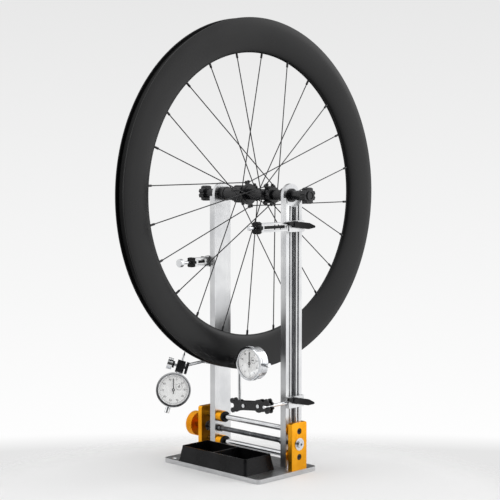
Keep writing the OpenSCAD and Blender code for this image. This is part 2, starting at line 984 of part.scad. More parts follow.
// Side of the flange that a spoke's elbow lies on. The head is on the other side
function elbow_side(i) = i % 4 < 2 ? 1 : -1;
elbow_reach = flange_t / 2 + elbow_gap + spoke_d / 2;
function spoke_foot(i) = on_circle(
    flange_x(i) + elbow_side(i) * elbow_reach,
    i % 2 == 1 ? left_hole_r : right_hole_r,
    spoke_angle(i) + spoke_turn(i)
);
function spoke_seat(i) = on_circle(i % 2 == 1 ? -rim_stagger : rim_stagger, rim_in_r, spoke_angle(i));
function spoke_dir(i) = (spoke_foot(i) - spoke_seat(i)) / norm(spoke_foot(i) - spoke_seat(i));

// Round bar on a spoke's line, from s0 to s1 measured from the rim's nose towards the hub
module nipple_bar(i, s0, s1, d) {
    bar_between(spoke_seat(i) + s0 * spoke_dir(i), spoke_seat(i) + s1 * spoke_dir(i), d);
}

module spoke(i) {
    foot = spoke_foot(i);
    far_x = -elbow_side(i) * (elbow_reach + flange_t / 2 + elbow_gap);
    head_x = far_x - elbow_side(i) * spoke_head_t;
    nipple_bar(i, nipple_out - spoke_bite, norm(foot - spoke_seat(i)), spoke_d);
    translate(foot) {
        sphere(d = spoke_d + elbow_swell);
        bar_x(min(0, head_x), max(0, head_x), spoke_d);
        bar_x(min(far_x, head_x), max(far_x, head_x), spoke_head_d);
    }
}

module spokes() {
    color(black) at_axle() for (i = [0:spoke_count - 1]) {
        spoke(i);
    }
}

module nipples() {
    color(black) at_axle() for (i = [0:spoke_count - 1]) {
        head_s = -rim_nose_wall - nipple_head_rise;
        difference() {
            union() {
                nipple_bar(i, head_s - nipple_head_t, nipple_out, nipple_d);
                nipple_bar(i, head_s - nipple_head_t, head_s, nipple_head_d);
            }
            nipple_bar(i, nipple_out - spoke_bite - seat_fit, nipple_out + over, spoke_d + 2 * run_fit);
        }
    }
}

// Block that slides on the upright's slot, with the nut that holds it in the slot
module slider_block() {
    difference() {
        translate([slider_in_x, slider_y0, -slider_h / 2]) cube([slider_t, slider_w, slider_h]);
        translate([slider_in_x - over, upright_y - nut_neck_w / 2 - run_fit, -nut_neck_w / 2 - run_fit])
            cube([nut_seat_depth + over, nut_neck_w + 2 * run_fit, nut_neck_w + 2 * run_fit]);
        translate([0, lever_y, stud_rise])
            bar_x(slider_in_x - over, slider_out_x + over, stud_d + 2 * run_fit);
    }
}

module slot_nut() {
    head_x0 = upright_in_x + slot_cavity_x0 + clear;
    head_x1 = upright_in_x + slot_cavity_x1 - clear;
    translate([head_x0, upright_y - nut_head_w / 2, -nut_head_h / 2])
        cube([head_x1 - head_x0, nut_head_w, nut_head_h]);
    translate([head_x0, upright_y - nut_neck_w / 2, -nut_neck_w / 2])
        cube([slider_in_x + nut_seat_depth - run_fit - head_x0, nut_neck_w, nut_neck_w]);
}

module slider() {
    color(silver) {
        difference() {
            slider_block();
            children();
        }
        slot_nut();
    }
}

// Clamp lever. It turns a stud that presses on the upright's outer face
module lever_outline() {
    polygon([
        [-lever_tail_l, -lever_tail_h / 2],
        [0, -lever_tail_h / 2],
        [lever_l * lever_swell_share, -lever_h / 2],
        [lever_l * lever_taper_share, -lever_h / 2],
        [lever_l, -lever_tip_h / 2],
        [lever_l, lever_tip_h / 2],
        [lever_l * lever_taper_share, lever_h / 2],
        [lever_l * lever_swell_share, lever_h / 2],
        [0, lever_tail_h / 2],
        [-lever_tail_l, lever_tail_h / 2]
    ]);
    translate([-lever_tail_l, 0]) circle(d = lever_tail_h);
    translate([lever_l, 0]) circle(d = lever_tip_h);
}

module lever_bend() {
    intersection() {
        difference() {
            translate([lever_bow, 0]) circle(lever_bow, $fn = 128);
            translate([lever_bow, 0]) circle(lever_bow - lever_t, $fn = 128);
        }
        translate([0, -lever_l]) square([lever_l, 3 * lever_l]);
    }
}

module lever(droop) {
    color(black) translate([lever_x, lever_y, stud_rise]) rotate([-droop, 0, 0]) {
        intersection() {
            translate([0, 0, -lever_h]) linear_extrude(2 * lever_h) lever_bend();
            plate_x(0, lever_l) lever_outline();
        }
        bar_x(0, lever_boss_h, lever_boss_d);
        bar_x(upright_out_x + clear - lever_x, lever_boss_h, stud_d);
    }
}

module lower_right_slider() {
    translate([0, 0, lower_right_z]) slider()
        translate([arm_x, 0, 0]) bar_y(slider_y0 - over, arm_seat_y, arm_rod_d + 2 * seat_fit);
}

module upper_right_slider() {
    translate([0, 0, upper_right_z]) slider();
}

module upper_left_slider() {
    translate([0, 0, upper_left_z]) left_side() slider();
}

// This slider carries a lug for the gauge arm's swivel
module lower_left_slider() {
    translate([0, 0, lower_left_z]) left_side() {
        slider();
        color(silver) difference() {
            union() {
                translate([arm_x - lug_w / 2, swivel_y, lug_rise - eye_drop])
                    cube([lug_w, slider_y0 - swivel_y, lug_t]);
                translate([arm_x, swivel_y, 0])
                    bar_z(lug_rise - eye_drop, lug_rise - eye_drop + lug_t, lug_w);
            }
            translate([arm_x, swivel_y, 0]) bar_z(-slider_h, slider_h, swivel_pin_d + 2 * run_fit);
        }
    }
}

module lower_right_lever() {
    translate([0, 0, lower_right_z]) lever(lower_droop);
}

module upper_right_lever() {
    translate([0, 0, upper_right_z]) lever(upper_droop);
}

module upper_left_lever() {
    translate([0, 0, upper_left_z]) left_side() lever(upper_droop);
}

module lower_left_lever() {
    translate([0, 0, lower_left_z]) left_side() lever(lower_droop);
}

// Slotted bar of a probe arm. The probe's rod goes through its front wall and lies in the slot
module probe_arm(l) {
    color(silver) translate([arm_x, slider_y0, 0]) difference() {
        translate([-arm_bar_t / 2, -l, -arm_bar_h / 2]) cube([arm_bar_t, l, arm_bar_h]);
        bar_y(-l - over, -l + 2 * arm_wall, probe_d + 2 * run_fit);
        translate([-arm_bar_t, -l + arm_wall, -arm_slot_h / 2])
            cube([2 * arm_bar_t, l - 1.5 * arm_wall, arm_slot_h]);
    }
}

// Probe with its knob, in front of the arm
module probe(l, knob_d, tip_l, disc_d, disc_t) {
    knob_y = -l - probe_knob_gap;
    tip_y = knob_y - probe_knob_l - tip_l;
    color(black) translate([arm_x, slider_y0, 0]) {
        bar_y(tip_y, -arm_wall, probe_d);
        bar_y(tip_y, tip_y + disc_t, disc_d);
        difference() {
            bar_y(knob_y - probe_knob_l, knob_y, knob_d);
            for (i = [0:probe_flute_count - 1]) {
                rotate([0, i * 360 / probe_flute_count, 0]) translate([0, 0, knob_d / 2])
                    bar_y(knob_y - probe_knob_l - over, knob_y + over, probe_flute_d);
            }
        }
    }
}

module upper_right_arm() {
    translate([0, 0, upper_right_z]) probe_arm(right_arm_l);
}

module upper_right_probe() {
    translate([0, 0, upper_right_z]) probe(
        right_arm_l,
        right_probe_knob_d,
        right_probe_tip_l,
        right_probe_disc_d,
        right_probe_disc_t
    );
}

module upper_left_arm() {
    translate([0, 0, upper_left_z]) left_side() probe_arm(left_arm_l);
}

module upper_left_probe() {
    translate([0, 0, upper_left_z]) left_side() probe(
        left_arm_l,
        left_probe_knob_d,
        left_probe_tip_l,
        left_probe_disc_d,
        left_probe_disc_t
    );
}

// Rod that carries the link, along Y
module lower_right_arm() {
    color(silver) translate([arm_x, 0, lower_right_z]) bar_y(arm_front_y, arm_seat_y - seat_fit, arm_rod_d);
}

// Frame of the link: its pivot is the arm's rod, and it runs along -X
module at_link() {
    translate([arm_x, post_y, lower_right_z]) rotate([0, -link_drop, 0]) children();
}

module link_outline() {
    left_end = -link_l - left_prong_reach;
    difference() {
        union() {
            translate([left_end, -link_bar_h / 2]) square([link_l + left_prong_reach, link_bar_h]);
            translate([-link_l, 0]) circle(link_end_r);
            translate([-link_l * link_screw_share, 0]) circle(link_lobe_r);
            circle(rod_end_r);
            for (x = [left_end, right_prong_reach], s = [-1, 1]) {
                translate([x, s * prong_spread]) circle(prong_r);
            }
        }
        circle(d = arm_rod_d + 2 * run_fit);
        translate([0, -jaw_slit_w / 2]) square([jaw_l, jaw_slit_w]);
        translate([rod_end_r, 0]) circle(rod_mouth_r);
        translate([left_end, 0]) circle(jaw_mouth_r);
        for (share = [link_screw_share, second_screw_share]) {
            translate([-link_l * share, 0]) circle(d = link_screw_d + 2 * run_fit);
        }
    }
}

module link_plates() {
    color(black) at_link() {
        plate_y(-plate_gap / 2 - plate_t, -plate_gap / 2) link_outline();
        plate_y(plate_gap / 2, plate_gap / 2 + plate_t) link_outline();
    }
}

module link_screws() {
    face = plate_gap / 2 + plate_t;
    color(silver) at_link() for (share = [link_screw_share, second_screw_share]) {
        translate([-link_l * share, 0, 0]) {
            bar_y(-face, face, link_screw_d);
            bar_y(-face - link_screw_head_h, -face, link_screw_head_d);
            bar_y(face, face + link_screw_head_h, link_screw_head_d);
            bar_y(-plate_gap / 2, plate_gap / 2, link_screw_head_d);
        }
    }
}

// Upright rod from the link to the lateral gauge's stem
module gauge_post() {
    foot_z = lower_right_z - link_l * sin(link_drop);
    color(silver) translate([post_x, post_y, 0])
        bar_z(foot_z - post_below, gauge_z + post_above, arm_rod_d);
}

module post_clamp() {
    y0 = gauge_y - stem_d / 2 - clamp_margin;
    y1 = post_y + arm_rod_d / 2 + clamp_margin;
    color(black) difference() {
        translate([post_x - clamp_w / 2, y0, gauge_z - clamp_w / 2]) cube([clamp_w, y1 - y0, clamp_w]);
        translate([0, gauge_y, gauge_z]) bar_x(post_x - clamp_w, post_x + clamp_w, stem_d + 2 * run_fit);
        translate([post_x, post_y, gauge_z]) bar_z(-clamp_w, clamp_w, arm_rod_d + 2 * seat_fit);
    }
}

// Long rod of the radial gauge, with its swivel eye and pin
function arm_start() = [-arm_x, swivel_y, swivel_z];
function arm_end() = radial_point([0, arm_clamp_back - arm_seat_depth, radial_clamp_from_centre]);
function arm_dir() = (arm_end() - arm_start()) / norm(arm_end() - arm_start());

module gauge_arm() {
    pin_z1 = lug_rise + lug_t + clear;
    color(silver) {
        bar_between(arm_start() + swivel_pin_d / 4 * arm_dir(), arm_end(), arm_rod_d);
        translate(arm_start()) {
            bar_z(-eye_t / 2, eye_t / 2, lug_w);
            bar_z(-eye_t / 2 - pin_head_t, pin_z1, swivel_pin_d);
            bar_z(-eye_t / 2 - pin_head_t, -eye_t / 2, pin_head_d);
            bar_z(pin_z1, pin_z1 + pin_head_t, pin_head_d);
        }
    }
}

// Frame of the radial gauge: +Z is towards the tip, and the dial faces -Y
module at_radial_gauge() {
    translate(radial_centre()) rotate([-radial_lean, 0, 0]) rotate([0, 0, radial_spin]) children();
}

module at_lateral_gauge() {
    translate([lateral_x, gauge_y, gauge_z]) rotate([0, -90, 0]) children();
}

// Clamp between the long rod and the gauge's stem, with its bolt, thumb nut and outer jaw
module arm_clamp() {
    half = arm_clamp_w / 2;
    nut_x = -half - arm_bolt_out;
    jaw_x = half + arm_jaw_gap;
    color(black) difference() {
        at_radial_gauge() translate([0, 0, radial_clamp_from_centre]) {
            difference() {
                translate([-half, -half, -arm_clamp_h / 2])
                    cube([arm_clamp_w, half + arm_clamp_back, arm_clamp_h]);
                bar_z(-arm_clamp_h, arm_clamp_h, stem_d + 2 * run_fit);
            }
            bar_x(nut_x, -half + over, clamp_bolt_d);
            bar_x(nut_x - arm_collar_l, nut_x, arm_collar_d);
            bar_x(nut_x - arm_collar_l - arm_nut_l, nut_x - arm_collar_l, arm_nut_d);
            bar_x(half - over, jaw_x + over, clamp_bolt_d);
            translate([jaw_x, -arm_jaw_w / 2, -arm_clamp_h / 2]) cube([arm_jaw_t, arm_jaw_w, arm_clamp_h]);
        }
        bar_between(arm_start(), arm_end() + seat_fit * arm_dir(), arm_rod_d + 2 * seat_fit);
    }
}

// Dial gauge pieces, in a frame with the dial's centre at the origin
module gauge_case() {
    color(silver) difference() {
        union() {
            bar_y(-case_front, case_depth - case_front, case_d);
            bar_z(case_d / 2 - case_wall, stem_end, stem_d);
            bar_z(-case_d / 2 - gauge_top_boss_l, -case_d / 2 + case_wall, stem_d);
        }
        bar_y(-case_front - over, case_depth - case_front - case_wall, case_d - 2 * case_wall);
        bar_z(-case_d, case_d, plunger_d + 2 * run_fit);
    }
}

function counter_place(a) = [counter_r * sin(a), counter_r * cos(a)];

module gauge_dial(counter_angle) {
    c = counter_place(counter_angle);
    color(dial_white) {
        bar_y(-case_front, -case_front + dial_t, case_d - 2 * case_wall - 2 * seat_fit);
        bar_y(-case_front - 3 * needle_t - clear, -case_front + seat_fit, dial_post_d);
        translate([c.x, 0, c.y]) bar_y(-case_front - 2 * needle_t, -case_front + seat_fit, counter_post_d);
    }
}

module gauge_bezel() {
    front = -case_front - bezel_front_gap;
    color(silver) difference() {
        bar_y(front, front + bezel_t, bezel_d);
        bar_y(front + bezel_wall / 2, front + bezel_t + over, case_d + 2 * run_fit);
        bar_y(front - over, front + bezel_t, bezel_d - 2 * bezel_wall - 2 * case_wall);
    }
}

// Hand in the plane of the dial, pointing up at angle a from the tip towards +X
module hand(a, y1, thick, l, tail, w, hub_d, bore_d) {
    rotate([0, a, 0]) difference() {
        plate_y(y1 - thick, y1) {
            circle(d = hub_d);
            polygon([[-w / 2, -tail], [w / 2, -tail], [w / 2, l - w], [0, l], [-w / 2, l - w]]);
        }
        bar_y(y1 - thick - over, y1 + over, bore_d + 2 * run_fit);
    }
}

module gauge_needle(a) {
    color(black) hand(
        a,
        -case_front - 2 * needle_t,
        needle_t,
        needle_l,
        needle_tail_l,
        needle_w,
        needle_hub_d,
        dial_post_d
    );
}

module gauge_counter_hand(counter_angle) {
    c = counter_place(counter_angle);
    color(black) translate([c.x, 0, c.y]) hand(
        0,
        -case_front - needle_t / 2,
        needle_t,
        counter_l,
        counter_l / 3,
        counter_w,
        counter_hub_d,
        counter_post_d
    );
}

module gauge_plunger(tip_l) {
    boss_z = -case_d / 2 - gauge_top_boss_l;
    shank_z = max(stem_end + clear, tip_l - contact_l - contact_tip_d);
    color(silver) {
        bar_z(boss_z - clear - seat_fit, shank_z, plunger_d);
        bar_z(boss_z - clear - gauge_cap_l, boss_z - clear, gauge_cap_d);
        translate([0, 0, shank_z - seat_fit]) cylinder(
            h = tip_l - contact_tip_d - shank_z + 2 * seat_fit,
            d1 = plunger_d,
            d2 = contact_tip_d
        );
        bar_z(tip_l - contact_tip_d, tip_l - contact_tip_d / 2, contact_tip_d);
        translate([0, 0, tip_l - contact_tip_d / 2]) sphere(d = contact_tip_d);
    }
}

module lateral_gauge_case() {
    at_lateral_gauge() gauge_case();
}

module lateral_gauge_dial() {
    at_lateral_gauge() gauge_dial(lateral_counter_angle);
}

module lateral_gauge_bezel() {
    at_lateral_gauge() gauge_bezel();
}

module lateral_gauge_needle() {
    at_lateral_gauge() gauge_needle(lateral_needle_angle);
}

module lateral_gauge_counter_hand() {
    at_lateral_gauge() gauge_counter_hand(lateral_counter_angle);
}

module lateral_gauge_plunger() {
    at_lateral_gauge() gauge_plunger(lateral_tip_l);
}

module radial_gauge_case() {
    at_radial_gauge() gauge_case();
}

module radial_gauge_dial() {
    at_radial_gauge() gauge_dial(radial_counter_angle);
}

module radial_gauge_bezel() {
    at_radial_gauge() gauge_bezel();
}

module radial_gauge_needle() {
    at_radial_gauge() gauge_needle(radial_needle_angle);
}

module radial_gauge_counter_hand() {
    at_radial_gauge() gauge_counter_hand(radial_counter_angle);
}

module radial_gauge_plunger() {
    at_radial_gauge() gauge_plunger(radial_tip_l);
}

base_plate();
tool_tray();
left_end_block();
right_end_block();
guide_rods();
rod_bolts();
screw_bearings();
block_screws();
hub_axle();
leadscrew();
hand_knob();
screw_end_nut();
left_upright();
left_bushings();
left_rod_wipers();
left_screw_nut();
right_upright();
right_bushings();
right_screw_nut();
left_axle_shaft();
left_axle_knob();
right_axle_shaft();
right_axle_knob();
rim();
hub_shell();
spokes();
nipples();
freehub_body();
lower_right_slider();
upper_right_slider();
upper_left_slider();
lower_left_slider();
lower_right_lever();
upper_right_lever();
upper_left_lever();
lower_left_lever();
upper_right_arm();
upper_right_probe();
upper_left_arm();
upper_left_probe();
lower_right_arm();
link_plates();
link_screws();
gauge_post();
post_clamp();
gauge_arm();
arm_clamp();
lateral_gauge_case();
lateral_gauge_dial();
lateral_gauge_bezel();
lateral_gauge_needle();
lateral_gauge_counter_hand();
lateral_gauge_plunger();
radial_gauge_case();
radial_gauge_dial();
radial_gauge_bezel();
radial_gauge_needle();
radial_gauge_counter_hand();
radial_gauge_plunger();
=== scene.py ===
import json
import math

import bmesh
import bpy
from mathutils import Matrix, Vector


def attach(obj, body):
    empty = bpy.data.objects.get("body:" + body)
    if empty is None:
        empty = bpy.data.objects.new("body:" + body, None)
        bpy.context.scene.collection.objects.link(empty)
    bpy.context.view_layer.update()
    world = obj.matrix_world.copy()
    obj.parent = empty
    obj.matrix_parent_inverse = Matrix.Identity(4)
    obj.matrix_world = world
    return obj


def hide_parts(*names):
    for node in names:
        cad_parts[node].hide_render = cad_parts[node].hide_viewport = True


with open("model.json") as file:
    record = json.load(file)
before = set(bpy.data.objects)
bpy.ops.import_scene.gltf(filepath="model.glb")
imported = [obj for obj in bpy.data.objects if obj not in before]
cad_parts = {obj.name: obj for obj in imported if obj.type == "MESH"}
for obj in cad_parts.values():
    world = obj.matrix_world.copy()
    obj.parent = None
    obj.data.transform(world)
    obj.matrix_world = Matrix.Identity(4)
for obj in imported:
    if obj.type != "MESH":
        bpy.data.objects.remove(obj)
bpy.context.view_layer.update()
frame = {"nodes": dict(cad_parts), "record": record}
nodes = frame["nodes"]
bodies = frame["record"]["behaviour"]["bodies"]
slotOf = {part["node"]: part["material_slot"] for part in frame["record"]["subparts"]}
bodyOf = {node: body for body, members in bodies.items() for node in members}
mm = 0.001


# Camera, light and floor

view = {
    "place": (1.65998, -1.63788, 0.55384),
    "pitchDown": 3.93,
    "heading": 44.90,
    "lens": 93.57,
    "sensorWidth": 36,
    "farthest": 50,
}


def makeCamera():
    data = bpy.data.cameras.new("camera")
    data.lens = view["lens"]
    data.sensor_width = view["sensorWidth"]
    data.clip_end = view["farthest"]
    camera = bpy.data.objects.new("camera", data)
    camera.location = view["place"]
    camera.rotation_euler = (math.radians(90 - view["pitchDown"]), 0, math.radians(view["heading"]))
    bpy.context.collection.objects.link(camera)
    bpy.context.scene.camera = camera


studio = {
    # A plain floor, a soft edge, and a wall that darkens evenly upwards.
    # Each stop is the sine of the height at which the camera looks, and the tone there
    "backdrop": (
        (-0.26, 0.78),
        (-0.217, 0.79),
        (-0.206, 0.99),
        (0.0, 0.88),
        (0.12, 0.81),
    ),
    "roomDark": 0.05,
    "floorPlace": (0.176, -0.176),
    "floorDrop": 0.0002,
    "floorRadius": 0.6,
    "floorSides": 96,
    "floorGrey": (0.80, 0.80, 0.80),
    "floorRoughness": 0.6,
    "floorShine": 0.2,
    "floorFadeStart": 0.40,
    "floorFadeEnd": 0.54,
}

# Bright parts of the room: where they are, the cosine at which they fade out, and their strength
glows = [
    ((0.70, 0.71, 0.12), 0.30, 1.45),
    ((-0.74, -0.66, 0.12), 0.30, 0.85),
    ((0.0, 0.0, 1.0), 0.25, 1.0),
]

# Name, place, point it looks at, width, height, watts
softboxes = [
    ("keyBox", (0.9, 1.7, 1.5), (0.0, 0.0, 0.35), 1.0, 1.4, 6),
    ("frontBox", (-1.0, -1.7, 1.0), (0.0, 0.0, 0.4), 0.8, 1.4, 5),
    ("topBox", (0.1, 0.1, 2.3), (0.0, 0.0, 0.3), 1.2, 1.2, 6),
]


def addGlow(tree, direction, glow):
    place, reach, strength = glow
    facing = tree.nodes.new("ShaderNodeVectorMath")
    facing.operation = "DOT_PRODUCT"
    facing.inputs[1].default_value = Vector(place).normalized()
    spread = tree.nodes.new("ShaderNodeMapRange")
    spread.interpolation_type = "SMOOTHSTEP"
    spread.inputs["From Min"].default_value = reach
    spread.inputs["From Max"].default_value = 1.0
    spread.inputs["To Max"].default_value = strength
    tree.links.new(direction, facing.inputs[0])
    tree.links.new(facing.outputs["Value"], spread.inputs["Value"])
    return spread.outputs["Result"]


def backdropTone(tree, direction):
    stops = studio["backdrop"]
    low, high = stops[0][0], stops[-1][0]
    split = tree.nodes.new("ShaderNodeSeparateXYZ")
    remap = tree.nodes.new("ShaderNodeMapRange")
    ramp = tree.nodes.new("ShaderNodeValToRGB")
    remap.inputs["From Min"].default_value = low
    remap.inputs["From Max"].default_value = high
    points = ramp.color_ramp.elements
    for height, tone in stops[1:-1]:
        points.new((height - low) / (high - low))
    for point, (height, tone) in zip(points, stops):
        point.color = (tone, tone, tone, 1)
    tree.links.new(direction, split.inputs["Vector"])
    tree.links.new(split.outputs["Z"], remap.inputs["Value"])
    tree.links.new(remap.outputs["Result"], ramp.inputs["Fac"])
    return ramp.outputs["Color"]


def makeWorld():
    world = bpy.data.worlds.new("studioRoom")
    world.use_nodes = True
    tree = world.node_tree
    light = tree.nodes["Background"]
    coords = tree.nodes.new("ShaderNodeTexCoord")
    direction = coords.outputs["Generated"]
    # The room is dark grey, and each glow is added to it
    total = tree.nodes.new("ShaderNodeValue").outputs["Value"]
    total.default_value = studio["roomDark"]
    for glow in glows:
        add = tree.nodes.new("ShaderNodeMath")
        tree.links.new(addGlow(tree, direction, glow), add.inputs[0])
        tree.links.new(total, add.inputs[1])
        total = add.outputs["Value"]
    light.inputs["Color"].default_value = (1, 1, 1, 1)
    tree.links.new(total, light.inputs["Strength"])
    # The camera sees the backdrop, and everything else is lit by the room
    backdrop = tree.nodes.new("ShaderNodeBackground")
    tree.links.new(backdropTone(tree, direction), backdrop.inputs["Color"])
    seen = tree.nodes.new("ShaderNodeLightPath")
    mix = tree.nodes.new("ShaderNodeMixShader")
    tree.links.new(seen.outputs["Is Camera Ray"], mix.inputs["Fac"])
    tree.links.new(light.outputs["Background"], mix.inputs[1])
    tree.links.new(backdrop.outputs["Background"], mix.inputs[2])
    tree.links.new(mix.outputs["Shader"], tree.nodes["World Output"].inputs["Surface"])
    bpy.context.scene.world = world
    # The backdrop's tones are meant for the plain view, which doesn't bend them
    bpy.context.scene.view_settings.view_transform = "Standard"


def makeSoftboxes():
    for name, place, target, width, height, watts in softboxes:
        data = bpy.data.lights.new(name, "AREA")
        data.shape = "RECTANGLE"
        data.size = width
        data.size_y = height
        data.energy = watts
        lamp = bpy.data.objects.new(name, data)
        lamp.location = place
        lamp.rotation_euler = (Vector(target) - Vector(place)).to_track_quat("-Z", "Y").to_euler()
        bpy.context.collection.objects.link(lamp)


def makeFloor():
    shape = bmesh.new()
    bmesh.ops.create_circle(
        shape,
        cap_ends=True,
        segments=studio["floorSides"],
        radius=studio["floorRadius"],
    )
    mesh = bpy.data.meshes.new("floor")
    shape.to_mesh(mesh)
    shape.free()
    floor = bpy.data.objects.new("floor", mesh)
    floor.location = (*studio["floorPlace"], -studio["floorDrop"])
    bpy.context.collection.objects.link(floor)
    material, tree, shader = newFinish("paleFloor")
    shader.inputs["Base Color"].default_value = (*studio["floorGrey"], 1)
    shader.inputs["Roughness"].default_value = studio["floorRoughness"]
    shader.inputs["Specular IOR Level"].default_value = studio["floorShine"]
    # The disc fades out towards its edge, so that it ends in the backdrop without a line
    coords = tree.nodes.new("ShaderNodeTexCoord")
    length = tree.nodes.new("ShaderNodeVectorMath")
    length.operation = "LENGTH"
    fade = tree.nodes.new("ShaderNodeMapRange")
    fade.interpolation_type = "SMOOTHSTEP"
    fade.inputs["From Min"].default_value = studio["floorFadeStart"]
    fade.inputs["From Max"].default_value = studio["floorFadeEnd"]
    clearAway = tree.nodes.new("ShaderNodeBsdfTransparent")
    mix = tree.nodes.new("ShaderNodeMixShader")
    tree.links.new(coords.outputs["Object"], length.inputs[0])
    tree.links.new(length.outputs["Value"], fade.inputs["Value"])
    tree.links.new(fade.outputs["Result"], mix.inputs["Fac"])
    tree.links.new(shader.outputs["BSDF"], mix.inputs[1])
    tree.links.new(clearAway.outputs["BSDF"], mix.inputs[2])
    tree.links.new(mix.outputs["Shader"], tree.nodes["Material Output"].inputs["Surface"])
    mesh.materials.append(material)


# Small helpers for the materials' node trees


def newFinish(name):
    material = bpy.data.materials.new(name)
    material.use_nodes = True
    return material, material.node_tree, material.node_tree.nodes["Principled BSDF"]


def stretchedNoise(tree, stretch, detail=2.0, blur=0.55):
    coords = tree.nodes.new("ShaderNodeTexCoord")
    mapping = tree.nodes.new("ShaderNodeMapping")
    mapping.inputs["Scale"].default_value = stretch
    noise = tree.nodes.new("ShaderNodeTexNoise")
    noise.inputs["Scale"].default_value = 1.0
    noise.inputs["Detail"].default_value = detail
    noise.inputs["Roughness"].default_value = blur
    tree.links.new(coords.outputs["Object"], mapping.inputs["Vector"])
    tree.links.new(mapping.outputs["Vector"], noise.inputs["Vector"])
    return noise.outputs["Fac"]


def evenNoise(tree, scale, detail=2.0):
    return stretchedNoise(tree, (scale, scale, scale), detail)


def spreadTo(tree, value, low, high, fromLow=0.3, fromHigh=0.7):
    remap = tree.nodes.new("ShaderNodeMapRange")
    remap.inputs["From Min"].default_value = fromLow
    remap.inputs["From Max"].default_value = fromHigh
    remap.inputs["To Min"].default_value = low
    remap.inputs["To Max"].default_value = high
    tree.links.new(value, remap.inputs["Value"])
    return remap.outputs["Result"]


def toned(tree, value, dark, light, fromLow=0.35, fromHigh=0.65):
    ramp = tree.nodes.new("ShaderNodeValToRGB")
    ramp.color_ramp.elements[0].position = fromLow
    ramp.color_ramp.elements[1].position = fromHigh
    ramp.color_ramp.elements[0].color = (*dark, 1)
    ramp.color_ramp.elements[1].color = (*light, 1)
    tree.links.new(value, ramp.inputs["Fac"])
    return ramp.outputs["Color"]


def addBump(tree, shader, value, depth, strength=1.0):
    bump = tree.nodes.new("ShaderNodeBump")
    bump.inputs["Distance"].default_value = depth
    bump.inputs["Strength"].default_value = strength
    tree.links.new(value, bump.inputs["Height"])
    tree.links.new(bump.outputs["Normal"], shader.inputs["Normal"])


# Finishes. Each has its colours (dark and light tone), its roughness range and its grain


def makeMetal(name, look, stretch=None):
    # The grain is even, or runs one way where a stretch is given
    material, tree, shader = newFinish(name)
    if stretch:
        grain = stretchedNoise(tree, stretch, look["detail"])
    else:
        grain = evenNoise(tree, look["grainScale"], look["detail"])
    patches = evenNoise(tree, look["patchScale"])
    shader.inputs["Metallic"].default_value = look["metallic"]
    shader.inputs["Specular IOR Level"].default_value = look["shine"]
    colour = toned(tree, patches, look["darkTone"], look["lightTone"])
    tree.links.new(colour, shader.inputs["Base Color"])
    tree.links.new(spreadTo(tree, grain, *look["roughness"]), shader.inputs["Roughness"])
    addBump(tree, shader, grain, look["grainDepth"])
    return material


aluminiumLook = {
    "darkTone": (0.50, 0.505, 0.515),
    "lightTone": (0.61, 0.615, 0.62),
    "metallic": 1.0,
    "shine": 0.5,
    "roughness": (0.24, 0.40),
    "detail": 4.0,
    "patchScale": 18.0,
    "grainDepth": 0.012 * mm,
}

# The aluminium's grain runs along one axis of the stand
alongZ = (1400.0, 1400.0, 7.0)
alongX = (7.0, 1400.0, 1400.0)
alongY = (1400.0, 7.0, 1400.0)

goldLook = {
    "darkTone": (0.72, 0.29, 0.008),
    "lightTone": (0.86, 0.38, 0.016),
    "metallic": 1.0,
    "shine": 0.5,
    "roughness": (0.26, 0.38),
    "detail": 3.0,
    "patchScale": 30.0,
    "grainScale": 500.0,
    "grainDepth": 0.01 * mm,
}

steelLook = {
    "darkTone": (0.60, 0.61, 0.63),
    "lightTone": (0.72, 0.73, 0.74),
    "metallic": 1.0,
    "shine": 0.5,
    "roughness": (0.09, 0.2),
    "detail": 2.0,
    "patchScale": 40.0,
    "grainScale": 900.0,
    "grainDepth": 0.004 * mm,
}

darkSteelLook = {
    "darkTone": (0.10, 0.105, 0.11),
    "lightTone": (0.19, 0.195, 0.205),
    "metallic": 1.0,
    "shine": 0.5,
    "roughness": (0.22, 0.36),
    "detail": 3.0,
    "patchScale": 60.0,
    "grainScale": 700.0,
    "grainDepth": 0.01 * mm,
}

chromeLook = {
    "darkTone": (0.62, 0.63, 0.65),
    "lightTone": (0.74, 0.75, 0.77),
    "metallic": 1.0,
    "shine": 0.5,
    "roughness": (0.10, 0.22),
    "detail": 3.0,
    "patchScale": 70.0,
    "grainScale": 800.0,
    "grainDepth": 0.004 * mm,
}

blackAnodisedLook = {
    "darkTone": (0.006, 0.006, 0.007),
    "lightTone": (0.014, 0.014, 0.016),
    "metallic": 0.0,
    "shine": 0.35,
    "roughness": (0.20, 0.34),
    "detail": 3.0,
    "patchScale": 60.0,
    "grainScale": 600.0,
    "grainDepth": 0.008 * mm,
}

blackSteelLook = {
    "darkTone": (0.012, 0.012, 0.013),
    "lightTone": (0.024, 0.024, 0.026),
    "metallic": 0.35,
    "shine": 0.5,
    "roughness": (0.26, 0.40),
    "detail": 2.0,
    "patchScale": 30.0,
    "grainScale": 800.0,
    "grainDepth": 0.003 * mm,
}

carbonLook = {
    "darkTone": (0.0055, 0.0055, 0.006),
    "lightTone": (0.0085, 0.0085, 0.009),
    "roughness": (0.27, 0.36),
    "shine": 0.22,
    "patchScale": 11.0,
    "grainScale": 900.0,
    "grainDepth": 0.008 * mm,
}

plasticLook = {
    "darkTone": (0.004, 0.004, 0.0045),
    "lightTone": (0.009, 0.009, 0.010),
    "roughness": (0.24, 0.36),
    "shine": 0.14,
    "patchScale": 45.0,
    "grainScale": 2600.0,
    "grainDepth": 0.03 * mm,
}


